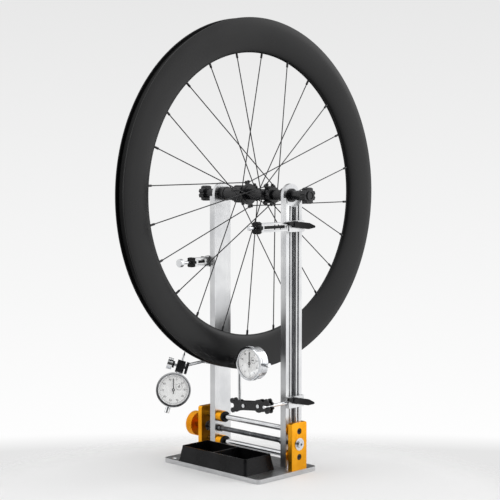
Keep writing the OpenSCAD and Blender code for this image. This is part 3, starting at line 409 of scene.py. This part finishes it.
def makeBlack(name, look):
    material, tree, shader = newFinish(name)
    patches = evenNoise(tree, look["patchScale"])
    grain = evenNoise(tree, look["grainScale"])
    shader.inputs["Specular IOR Level"].default_value = look["shine"]
    colour = toned(tree, patches, look["darkTone"], look["lightTone"])
    tree.links.new(colour, shader.inputs["Base Color"])
    tree.links.new(spreadTo(tree, patches, *look["roughness"]), shader.inputs["Roughness"])
    addBump(tree, shader, grain, look["grainDepth"])
    return material


dialLook = {
    "darkTone": (0.90, 0.90, 0.89),
    "lightTone": (0.95, 0.95, 0.94),
    "roughness": 0.45,
    "paperScale": 500.0,
    "glow": 0.26,  # a faint painted glow, light the dials give off of their own though they are no lamp, so that the dials are as pale as real ones
}


def makeDialPaint():
    material, tree, shader = newFinish("dialPaint")
    speckle = evenNoise(tree, dialLook["paperScale"])
    colour = toned(tree, speckle, dialLook["darkTone"], dialLook["lightTone"])
    tree.links.new(colour, shader.inputs["Base Color"])
    shader.inputs["Roughness"].default_value = dialLook["roughness"]
    # Painted light: the dial glows faintly, so that it looks brighter than the lamps alone make it
    shader.inputs["Emission Color"].default_value = (1, 1, 1, 1)
    shader.inputs["Emission Strength"].default_value = dialLook["glow"]
    return material


inkLook = {
    "darkTone": (0.008, 0.008, 0.01),
    "lightTone": (0.02, 0.02, 0.022),
    "roughness": 0.5,
    "speckleScale": 1500.0,
}


def makeInk():
    material, tree, shader = newFinish("dialInk")
    speckle = evenNoise(tree, inkLook["speckleScale"])
    colour = toned(tree, speckle, inkLook["darkTone"], inkLook["lightTone"])
    tree.links.new(colour, shader.inputs["Base Color"])
    shader.inputs["Roughness"].default_value = inkLook["roughness"]
    return material


crystalLook = {
    "tone": (0.95, 0.96, 0.97),
    "shine": 0.10,  # the share of the crystal that mirrors, the rest being clear
    "roughness": 0.04,
}


def makeCrystal():
    material, tree, shader = newFinish("dialCrystal")
    shader.inputs["Base Color"].default_value = (*crystalLook["tone"], 1)
    shader.inputs["Metallic"].default_value = 1.0
    shader.inputs["Roughness"].default_value = crystalLook["roughness"]
    shader.inputs["Alpha"].default_value = crystalLook["shine"]
    return material


finishes = {
    "aluminiumZ": makeMetal("brushedAluminiumUpright", aluminiumLook, alongZ),
    "aluminiumX": makeMetal("brushedAluminiumPlate", aluminiumLook, alongX),
    "aluminiumY": makeMetal("brushedAluminiumArm", aluminiumLook, alongY),
    "gold": makeMetal("goldAnodised", goldLook),
    "steel": makeMetal("polishedSteel", steelLook),
    "darkSteel": makeMetal("darkSteel", darkSteelLook),
    "chrome": makeMetal("gaugeChrome", chromeLook),
    "blackAnodised": makeMetal("blackAnodised", blackAnodisedLook),
    "blackSteel": makeMetal("blackSteel", blackSteelLook),
    "carbon": makeBlack("carbonRim", carbonLook),
    "plastic": makeBlack("blackPlastic", plasticLook),
    "dial": makeDialPaint(),
    "ink": makeInk(),
    "crystal": makeCrystal(),
}

finishOfSlot = {
    "satin_aluminium": "aluminiumZ",
    "gold_anodised": "gold",
    "polished_steel": "steel",
    "dark_steel": "darkSteel",
    "black_plastic": "plastic",
    "black_anodised": "blackAnodised",
    "black_steel": "blackSteel",
    "carbon": "carbon",
    "gauge_chrome": "chrome",
    "dial_white": "dial",
    "hand_black": "ink",
}

finishOfNode = {
    "base_plate": "aluminiumX",
    "left_rod_wipers": "plastic",
    "rod_bolts": "blackSteel",
    "upper_right_arm": "aluminiumY",
    "upper_left_arm": "aluminiumY",
}


def finishFor(node):
    return finishes[finishOfNode.get(node, finishOfSlot[slotOf[node]])]


def paintNodes():
    for name, piece in nodes.items():
        piece.data.materials.clear()
        piece.data.materials.append(finishFor(name))
    print("finishes:", len(finishes), "materials on", len(nodes), "nodes")


# Making pieces


def linkPiece(name, mesh, body, finish, stands=()):
    # A mesh that has its finish already is given none here
    piece = bpy.data.objects.new(name, mesh)
    bpy.context.collection.objects.link(piece)
    if finish:
        mesh.materials.clear()
        mesh.materials.append(finishes[finish])
    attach(piece, body)
    if stands:
        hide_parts(*stands)


def meshFrom(shape, name, smoothAngle=38):
    mesh = bpy.data.meshes.new(name)
    shape.to_mesh(mesh)
    shape.free()
    mesh.shade_smooth()
    mesh.set_sharp_from_angle(angle=math.radians(smoothAngle))
    return mesh


def oneFinish(mesh, material):
    mesh.materials.clear()
    mesh.materials.append(material)
    mesh.polygons.foreach_set("material_index", [0] * len(mesh.polygons))
    return mesh


def settled(piece):
    # The evaluated object as a plain mesh, with its modifiers gone
    graph = bpy.context.evaluated_depsgraph_get()
    mesh = bpy.data.meshes.new_from_object(piece.evaluated_get(graph))
    piece.modifiers.clear()
    piece.data = mesh
    return mesh


# How a CAD mesh is merged and its edges broken, in millimetres and degrees
edging = {
    "mergeWithin": 0.004,
    "flatWithin": 0.8,
    "sharpFrom": 40,
    "segments": 2,
}


def mergedCopy(node):
    shape = bmesh.new()
    shape.from_mesh(nodes[node].data)
    bmesh.ops.remove_doubles(shape, verts=shape.verts, dist=edging["mergeWithin"] * mm)
    bmesh.ops.dissolve_limit(
        shape,
        angle_limit=math.radians(edging["flatWithin"]),
        use_dissolve_boundaries=False,
        verts=shape.verts,
        edges=shape.edges,
    )
    return shape


# Widths of the broken edges, in millimetres, for the nodes whose edges catch the light
edgeWidths = {
    "base_plate": 0.7,
    "left_end_block": 1.3,
    "right_end_block": 1.3,
    "hand_knob": 0.35,
    "left_bushings": 1.0,
    "right_bushings": 1.0,
    "left_rod_wipers": 1.4,
    "left_upright": 0.35,
    "right_upright": 0.35,
    "lower_right_slider": 0.5,
    "upper_right_slider": 0.5,
    "upper_left_slider": 0.5,
    "lower_left_slider": 0.5,
    "lower_right_lever": 1.0,
    "upper_right_lever": 1.0,
    "upper_left_lever": 1.0,
    "lower_left_lever": 1.0,
    "upper_right_arm": 0.5,
    "upper_left_arm": 0.5,
    "upper_right_probe": 0.4,
    "upper_left_probe": 0.4,
    "left_axle_shaft": 0.8,
    "right_axle_shaft": 0.8,
    "left_axle_knob": 0.6,
    "right_axle_knob": 0.6,
    "hub_shell": 0.5,
    "freehub_body": 0.4,
    "hub_axle": 0.6,
    "link_plates": 0.5,
    "link_screws": 0.4,
    "post_clamp": 0.5,
    "arm_clamp": 0.5,
    "screw_bearings": 0.3,
    "screw_end_nut": 0.4,
    "rod_bolts": 0.4,
    "lateral_gauge_case": 0.6,
    "radial_gauge_case": 0.6,
    "lateral_gauge_plunger": 0.3,
    "radial_gauge_plunger": 0.3,
}


def breakEdges(node, width):
    mesh = meshFrom(mergedCopy(node), node + "Edged")
    piece = bpy.data.objects.new(node + "Edged", mesh)
    bpy.context.collection.objects.link(piece)
    mesh.materials.append(finishFor(node))
    bevel = piece.modifiers.new("edges", "BEVEL")
    bevel.width = width * mm
    bevel.segments = edging["segments"]
    bevel.limit_method = "ANGLE"
    bevel.angle_limit = math.radians(edging["sharpFrom"])
    bevel.use_clamp_overlap = True
    bevel.harden_normals = True
    settled(piece)
    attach(piece, bodyOf[node])
    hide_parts(node)
    return piece


def paintBands(piece, place, bands):
    # Each band is (lowest x, highest x, largest distance from the x axis, finish), in millimetres.
    # The first band that fits a face counts
    back = place.inverted()
    names = list(dict.fromkeys(band[3] for band in bands))
    first = len(piece.data.materials)
    for name in names:
        piece.data.materials.append(finishes[name])
    for face in piece.data.polygons:
        spot = back @ face.center / mm
        reach = math.hypot(spot.y, spot.z)
        for low, high, widest, name in bands:
            if low <= spot.x <= high and reach <= widest:
                face.material_index = first + names.index(name)
                break


def breakAllEdges():
    edged = {node: breakEdges(node, width) for node, width in edgeWidths.items()}
    print("edges broken on", len(edged), "pieces")
    return edged


# Geometry Nodes trees


def startTree(name, sizes):
    tree = bpy.data.node_groups.new(name, "GeometryNodeTree")
    for label, kind in sizes:
        tree.interface.new_socket(label, in_out="INPUT", socket_type=kind)
    tree.interface.new_socket("Geometry", in_out="OUTPUT", socket_type="NodeSocketGeometry")
    return tree, tree.nodes.new("NodeGroupInput"), tree.nodes.new("NodeGroupOutput")


def endTree(tree, geometry, given, result):
    realize = tree.nodes.new("GeometryNodeRealizeInstances")
    paint = tree.nodes.new("GeometryNodeSetMaterial")
    tree.links.new(geometry, realize.inputs["Geometry"])
    tree.links.new(realize.outputs["Geometry"], paint.inputs["Geometry"])
    tree.links.new(given.outputs["Finish"], paint.inputs["Material"])
    tree.links.new(paint.outputs["Geometry"], result.inputs["Geometry"])
    return tree


def grown(tree, values):
    # Runs a tree on an empty mesh with the given sizes, and gives back the finished mesh
    holder = bpy.data.objects.new("holder", bpy.data.meshes.new("holder"))
    bpy.context.collection.objects.link(holder)
    modifier = holder.modifiers.new("grown", "NODES")
    modifier.node_group = tree
    sockets = {s.name: s.identifier for s in tree.interface.items_tree if s.in_out == "INPUT"}
    for label, value in values.items():
        modifier[sockets[label]] = value
    mesh = settled(holder)
    bpy.data.objects.remove(holder)
    return oneFinish(mesh, values["Finish"])


def makeRingTree():
    # Bars set round a circle in the XY plane, each with its length along the radius
    tree, given, result = startTree("barRing", [
        ("Count", "NodeSocketInt"),
        ("Radius", "NodeSocketFloat"),
        ("Bar", "NodeSocketVector"),
        ("Finish", "NodeSocketMaterial"),
    ])
    circle = tree.nodes.new("GeometryNodeMeshCircle")
    points = tree.nodes.new("GeometryNodeMeshToPoints")
    bar = tree.nodes.new("GeometryNodeMeshCube")
    place = tree.nodes.new("GeometryNodeInstanceOnPoints")
    index = tree.nodes.new("GeometryNodeInputIndex")
    share = tree.nodes.new("ShaderNodeMath")
    share.operation = "DIVIDE"
    angle = tree.nodes.new("ShaderNodeMath")
    angle.operation = "MULTIPLY"
    angle.inputs[1].default_value = math.tau
    turn = tree.nodes.new("ShaderNodeCombineXYZ")
    links = tree.links
    links.new(given.outputs["Count"], circle.inputs["Vertices"])
    links.new(given.outputs["Radius"], circle.inputs["Radius"])
    links.new(circle.outputs["Mesh"], points.inputs["Mesh"])
    links.new(given.outputs["Bar"], bar.inputs["Size"])
    links.new(index.outputs["Index"], share.inputs[0])
    links.new(given.outputs["Count"], share.inputs[1])
    links.new(share.outputs["Value"], angle.inputs[0])
    links.new(angle.outputs["Value"], turn.inputs["Z"])
    links.new(points.outputs["Points"], place.inputs["Points"])
    links.new(bar.outputs["Mesh"], place.inputs["Instance"])
    links.new(turn.outputs["Vector"], place.inputs["Rotation"])
    return endTree(tree, place.outputs["Instances"], given, result)


ringTree = makeRingTree()


def ringOfBars(count, radius, bar, finish, place):
    mesh = grown(ringTree, {
        "Count": count,
        "Radius": radius,
        "Bar": bar,
        "Finish": finishes[finish],
    })
    mesh.transform(place)
    return mesh


def joined(name, meshes, smoothAngle=38):
    # Several meshes with one finish as one mesh
    shape = bmesh.new()
    for mesh in meshes:
        shape.from_mesh(mesh)
    return oneFinish(meshFrom(shape, name, smoothAngle), meshes[0].materials[0])


# A profile's point that is nearer to the axis than this, in metres, is a single corner
onAxis = 1e-7


def turnedMesh(name, profile, steps, frameMatrix, closed=False):
    # Spins a profile of (radius, height) round Z. Open profiles end on the axis
    shape = bmesh.new()
    rows = []
    for radius, height in profile:
        if radius < onAxis:
            rows.append([shape.verts.new((0, 0, height))])
        else:
            rows.append([
                shape.verts.new((
                    radius * math.cos(math.tau * i / steps),
                    radius * math.sin(math.tau * i / steps),
                    height,
                ))
                for i in range(steps)
            ])
    pairs = list(zip(rows, rows[1:]))
    if closed:
        pairs.append((rows[-1], rows[0]))
    for low, high in pairs:
        for i in range(steps):
            j = (i + 1) % steps
            corners = [low[i % len(low)], low[j % len(low)], high[j % len(high)], high[i % len(high)]]
            corners = list(dict.fromkeys(corners))
            if len(corners) > 2:
                shape.faces.new(corners)
    bmesh.ops.recalc_face_normals(shape, faces=shape.faces)
    shape.transform(frameMatrix)
    return meshFrom(shape, name)


def axisFrame(origin, xAxis, yAxis, zAxis):
    return Matrix((
        (xAxis[0], yAxis[0], zAxis[0], origin[0]),
        (xAxis[1], yAxis[1], zAxis[1], origin[1]),
        (xAxis[2], yAxis[2], zAxis[2], origin[2]),
        (0, 0, 0, 1),
    ))


# The profile's height runs along +X of the stand
alongAxle = axisFrame((0, 0, 0), (0, 1, 0), (0, 0, 1), (1, 0, 0))


def axleAt(y, z):
    return Matrix.Translation((0, y, z)) @ alongAxle


# Rim

rim = {
    "axleY": 40.5,
    "axleZ": 493.0,
    "outer": 317.0,
    "depth": 62.0,
    "width": 25.0,
    "peakDrop": 12.0,
    "topNarrow": 0.7,
    # The tyre hook, as distances down from the rim's edge and in from its lip
    "hook": [
        (1.2, -0.05), (0.3, 0.25), (0.0, 0.9), (0.0, 2.2), (0.4, 2.8),
        (1.4, 3.05), (4.8, 2.5), (6.0, 2.9), (6.4, 4.6),
    ],
    # The bed, as distances down from the rim's edge and out from its middle
    "bed": [(8.7, 3.4), (9.0, 2.2)],
    "sideSteps": 26,
    "spinSteps": 360,
}


def rimProfile():
    # (radius, distance from the middle): out along the right side, round the hook, and back on the left
    half = rim["width"] / 2
    nose = rim["outer"] - rim["depth"]
    peak = rim["outer"] - rim["peakDrop"]
    lip = half - rim["topNarrow"]
    side = []
    for i in range(rim["sideSteps"] + 1):
        a = math.pi / 2 * i / rim["sideSteps"]
        side.append((nose + (peak - nose) * (1 - math.cos(a)), half * math.sin(a)))
    hook = [(rim["outer"] - down, lip - inwards) for down, inwards in rim["hook"]]
    bed = [(rim["outer"] - down, outwards) for down, outwards in rim["bed"]]
    right = side + hook + bed
    left = [(r, -x) for r, x in reversed(right[1:])]
    return [(r * mm, x * mm) for r, x in right + left]


def makeRim():
    place = axleAt(rim["axleY"] * mm, rim["axleZ"] * mm)
    mesh = turnedMesh("rimSkin", rimProfile(), rim["spinSteps"], place, closed=True)
    linkPiece("rimSkin", mesh, "wheel", "carbon", ["rim"])
    print("rim turned:", len(mesh.polygons), "faces")


# Leadscrew

screw = {
    "y": 30.0,
    "z": 54.0,
    "halfLength": 109.5,
    "coreRadius": 4.05,
    "crestRadius": 4.75,
    "ridge": 0.8,
    "pitch": 3.0,
    "journalRadius": 4.0,
    "leftEnd": 144.5,
    "rightEnd": 125.0,
    "middleGap": 2.0,
    "coreSides": 48,
    "turnSteps": 28,
    "ridgeSides": 7,
    "smoothAngle": 60,
}


def makeThreadTree():
    # A ridge wound round the Z axis, from the origin upwards
    tree, given, result = startTree("threadRidge", [
        ("Turns", "NodeSocketFloat"),
        ("Radius", "NodeSocketFloat"),
        ("Length", "NodeSocketFloat"),
        ("Ridge", "NodeSocketFloat"),
        ("Left Hand", "NodeSocketBool"),
        ("Finish", "NodeSocketMaterial"),
    ])
    spiral = tree.nodes.new("GeometryNodeCurveSpiral")
    spiral.inputs["Resolution"].default_value = screw["turnSteps"]
    ridge = tree.nodes.new("GeometryNodeCurvePrimitiveCircle")
    ridge.inputs["Resolution"].default_value = screw["ridgeSides"]
    sweep = tree.nodes.new("GeometryNodeCurveToMesh")
    sweep.inputs["Fill Caps"].default_value = True
    links = tree.links
    links.new(given.outputs["Turns"], spiral.inputs["Rotations"])
    links.new(given.outputs["Radius"], spiral.inputs["Start Radius"])
    links.new(given.outputs["Radius"], spiral.inputs["End Radius"])
    links.new(given.outputs["Length"], spiral.inputs["Height"])
    links.new(given.outputs["Left Hand"], spiral.inputs["Reverse"])
    links.new(given.outputs["Ridge"], ridge.inputs["Radius"])
    links.new(spiral.outputs["Curve"], sweep.inputs["Curve"])
    links.new(ridge.outputs["Curve"], sweep.inputs["Profile Curve"])
    return endTree(tree, sweep.outputs["Mesh"], given, result)


def makeLeadscrew():
    threadTree = makeThreadTree()
    place = axleAt(screw["y"] * mm, screw["z"] * mm)
    half = screw["halfLength"]
    core = turnedMesh("screwCore", [
        (0, -screw["leftEnd"] * mm),
        (screw["journalRadius"] * mm, -screw["leftEnd"] * mm),
        (screw["journalRadius"] * mm, -half * mm),
        (screw["coreRadius"] * mm, -half * mm),
        (screw["coreRadius"] * mm, half * mm),
        (screw["journalRadius"] * mm, half * mm),
        (screw["journalRadius"] * mm, screw["rightEnd"] * mm),
        (0, screw["rightEnd"] * mm),
    ], screw["coreSides"], place)
    core.materials.append(finishes["darkSteel"])
    length = half - screw["middleGap"]
    meshes = [core]
    for start, leftHand in ((screw["middleGap"], False), (-half, True)):
        thread = grown(threadTree, {
            "Turns": length / screw["pitch"],
            "Radius": (screw["crestRadius"] - screw["ridge"]) * mm,
            "Length": length * mm,
            "Ridge": screw["ridge"] * mm,
            "Left Hand": leftHand,
            "Finish": finishes["darkSteel"],
        })
        thread.transform(place @ Matrix.Translation((0, 0, start * mm)))
        meshes.append(thread)
    mesh = joined("threadedScrew", meshes, screw["smoothAngle"])
    linkPiece("threadedScrew", mesh, "leadscrew", None, ["leadscrew"])
    print("leadscrew threaded:", len(mesh.polygons), "faces")


# Dial gauges. Depths are along the dial's axis, with the case behind the face on the positive side

gauge = {
    "faceY": -8.0,
    "markLift": 0.06,
    "markThick": 0.05,
    "ringRadius": 24.5,
    "fineCount": 100,
    "fineBar": (1.7, 0.22),
    "boldCount": 10,
    "boldBar": (3.2, 0.5),
    "numberRadius": 18.7,
    "numberSize": 4.6,
    "numberThick": 0.02,
    "numberSteps": 3,
    "counterRadius": 11.0,
    "counterRing": 5.6,
    "counterLine": 0.4,
    "counterThick": 0.03,
    "counterSteps": 48,
    "counterTicks": 10,
    "counterTick": (0.9, 0.16),
    "counterInset": 0.5,
    "crystalFace": -10.7,
    "crystalRadius": 27.5,
    "crystalThick": 0.35,
    "crystalSides": 64,
    "knurlCount": 96,
    "knurlBar": (0.7, 0.9, 3.2),
    "knurlInset": 0.75,
    "bezelRadius": 30.5,
    "bezelMiddle": -8.0,
    "bezelSides": 128,
    "smoothAngle": 30,
    # The bezel's section as (radius, depth), from the front lip round to the back
    "bezelProfile": [
        (26.0, -10.75), (26.0, -11.4), (26.5, -12.0), (28.5, -12.0), (29.9, -11.6),
        (30.2, -10.6), (29.5, -10.2), (29.5, -6.0), (30.2, -5.6), (30.2, -4.3),
        (29.9, -4.0), (29.1, -4.0), (29.05, -10.75),
    ],
}

joints = {joint["name"]: joint for joint in frame["record"]["behaviour"]["joints"]}


def gaugeFrameOf(name):
    # Origin at the dial's centre, Z towards the tip and Y into the case, as the joints give them
    turn = joints[name + "_bezel_turn"]
    intoCase = Vector(turn["axis"])
    towardsTip = -Vector(joints[name + "_plunger_slide"]["axis"])
    return axisFrame(turn["pos_m"], intoCase.cross(towardsTip), intoCase, towardsTip)


radialFrame = gaugeFrameOf("radial")
lateralFrame = gaugeFrameOf("lateral")

# Name, the gauge's frame, and how far the dial's top and the counter are turned from the tip
gauges = [
    ("lateral", lateralFrame, 90, 145),
    ("radial", radialFrame, 0, 45),
]


def dialFrame(gaugeFrame, upAngle, depth):
    # X right and Y up on the dial as it is read, Z out of the face. upAngle turns up from the tip
    a = math.radians(upAngle)
    up = Vector((math.sin(a), 0, math.cos(a)))
    out = Vector((0, -1, 0))
    right = up.cross(out)
    return gaugeFrame @ axisFrame((0, depth * mm, 0), right, up, out)


def numberMesh(words, size, place):
    curve = bpy.data.curves.new("number", "FONT")
    curve.body = words
    curve.size = size * mm
    curve.align_x = "CENTER"
    curve.align_y = "CENTER"
    curve.resolution_u = gauge["numberSteps"]
    curve.extrude = gauge["numberThick"] * mm
    holder = bpy.data.objects.new("number", curve)
    bpy.context.collection.objects.link(holder)
    graph = bpy.context.evaluated_depsgraph_get()
    mesh = bpy.data.meshes.new_from_object(holder.evaluated_get(graph))
    bpy.data.objects.remove(holder)
    mesh.transform(place)
    return oneFinish(mesh, finishes["ink"])


def ringMesh(radius, wall, height, place):
    profile = [
        ((radius - wall / 2) * mm, 0),
        ((radius + wall / 2) * mm, 0),
        ((radius + wall / 2) * mm, height * mm),
        ((radius - wall / 2) * mm, height * mm),
    ]
    mesh = turnedMesh("ring", profile, gauge["counterSteps"], place, closed=True)
    return oneFinish(mesh, finishes["ink"])


def dialMarks(name, gaugeFrame, upAngle, counterAngle):
    face = dialFrame(gaugeFrame, upAngle, gauge["faceY"] - gauge["markLift"])
    marks = []
    quarterTurn = Matrix.Rotation(math.pi / 2, 4, "Z")
    scales = ((gauge["fineCount"], gauge["fineBar"]), (gauge["boldCount"], gauge["boldBar"]))
    for count, (length, width) in scales:
        bar = (length * mm, width * mm, gauge["markThick"] * mm)
        radius = (gauge["ringRadius"] - length / 2) * mm
        marks.append(ringOfBars(count, radius, bar, "ink", face @ quarterTurn))
    for i in range(gauge["boldCount"]):
        a = math.tau * i / gauge["boldCount"]
        spot = Vector((math.sin(a), math.cos(a), 0)) * gauge["numberRadius"] * mm
        marks.append(numberMesh(str(10 * i), gauge["numberSize"], face @ Matrix.Translation(spot)))
    # The counter's ring and ticks lie on the small dial's own centre
    c = math.radians(counterAngle)
    across = gauge["counterRadius"] * mm
    centre = gaugeFrame @ Vector((across * math.sin(c), 0, across * math.cos(c)))
    lift = (gauge["markLift"] - gauge["faceY"]) * mm
    small = face.copy()
    small.translation = centre + face.to_3x3() @ Vector((0, 0, lift))
    ring = gauge["counterRing"]
    marks.append(ringMesh(ring, gauge["counterLine"], gauge["counterThick"], small))
    length, width = gauge["counterTick"]
    bar = (length * mm, width * mm, gauge["markThick"] * mm)
    radius = (ring - gauge["counterInset"]) * mm
    marks.append(ringOfBars(gauge["counterTicks"], radius, bar, "ink", small))
    mesh = joined(name + "DialMarks", marks, gauge["smoothAngle"])
    linkPiece(name + "DialMarks", mesh, name + "_gauge", None)


def dialCrystal(name, gaugeFrame):
    face = dialFrame(gaugeFrame, 0, gauge["crystalFace"])
    radius = gauge["crystalRadius"] * mm
    back = -gauge["crystalThick"] * mm
    profile = [(0, 0), (radius, 0), (radius, back), (0, back)]
    mesh = turnedMesh(name + "Crystal", profile, gauge["crystalSides"], face)
    linkPiece(name + "Crystal", mesh, name + "_bezel", "crystal")


def knurledBezel(name, gaugeFrame):
    place = gaugeFrame @ axisFrame((0, 0, 0), (1, 0, 0), (0, 0, 1), (0, 1, 0))
    profile = [(r * mm, y * mm) for r, y in gauge["bezelProfile"]]
    body = turnedMesh(name + "BezelBody", profile, gauge["bezelSides"], place, closed=True)
    body.materials.append(finishes["chrome"])
    bar = tuple(v * mm for v in gauge["knurlBar"])
    knurl = ringOfBars(
        gauge["knurlCount"],
        (gauge["bezelRadius"] - gauge["knurlInset"]) * mm,
        bar,
        "chrome",
        place @ Matrix.Translation((0, 0, gauge["bezelMiddle"] * mm)),
    )
    mesh = joined(name + "KnurledBezel", [body, knurl], gauge["smoothAngle"])
    solid = name + "_gauge_bezel"
    linkPiece(name + "KnurledBezel", mesh, name + "_bezel", None, [solid])


def makeGauges():
    for name, gaugeFrame, upAngle, counterAngle in gauges:
        dialMarks(name, gaugeFrame, upAngle, counterAngle)
        dialCrystal(name, gaugeFrame)
        knurledBezel(name, gaugeFrame)
    print("gauges dressed:", len(gauges))


# Pieces with several finishes, each painted in bands along an axis of its own

everywhere = 9999.0  # millimetres, past the end of every piece

armClamp = {
    "fromDial": 43.5,
    "bands": [
        (-30.0, -14.4, everywhere, "steel"),
        (-14.4, -10.9, everywhere, "plastic"),
        (-10.9, -7.1, 3.0, "steel"),
        (7.1, 8.9, 3.0, "darkSteel"),
    ],
}

# A probe is bare steel from this far in front of the stand's origin, in millimetres
probeTips = {"upper_right_probe": 62.6, "upper_left_probe": 27.1}


def paintMixedPieces(edged):
    clampPlace = radialFrame @ Matrix.Translation((0, 0, armClamp["fromDial"] * mm))
    paintBands(edged["arm_clamp"], clampPlace, armClamp["bands"])
    frontwards = axisFrame((0, 0, 0), (0, -1, 0), (1, 0, 0), (0, 0, 1))
    for node, start in probeTips.items():
        paintBands(edged[node], frontwards, [(start, everywhere, everywhere, "steel")])
    print("mixed pieces painted:", 1 + len(probeTips))


makeCamera()
makeWorld()
makeSoftboxes()
makeFloor()
print("studio made:", len(softboxes), "softboxes and a floor")
paintNodes()
edgedPieces = breakAllEdges()
paintMixedPieces(edgedPieces)
makeRim()
makeLeadscrew()
makeGauges()
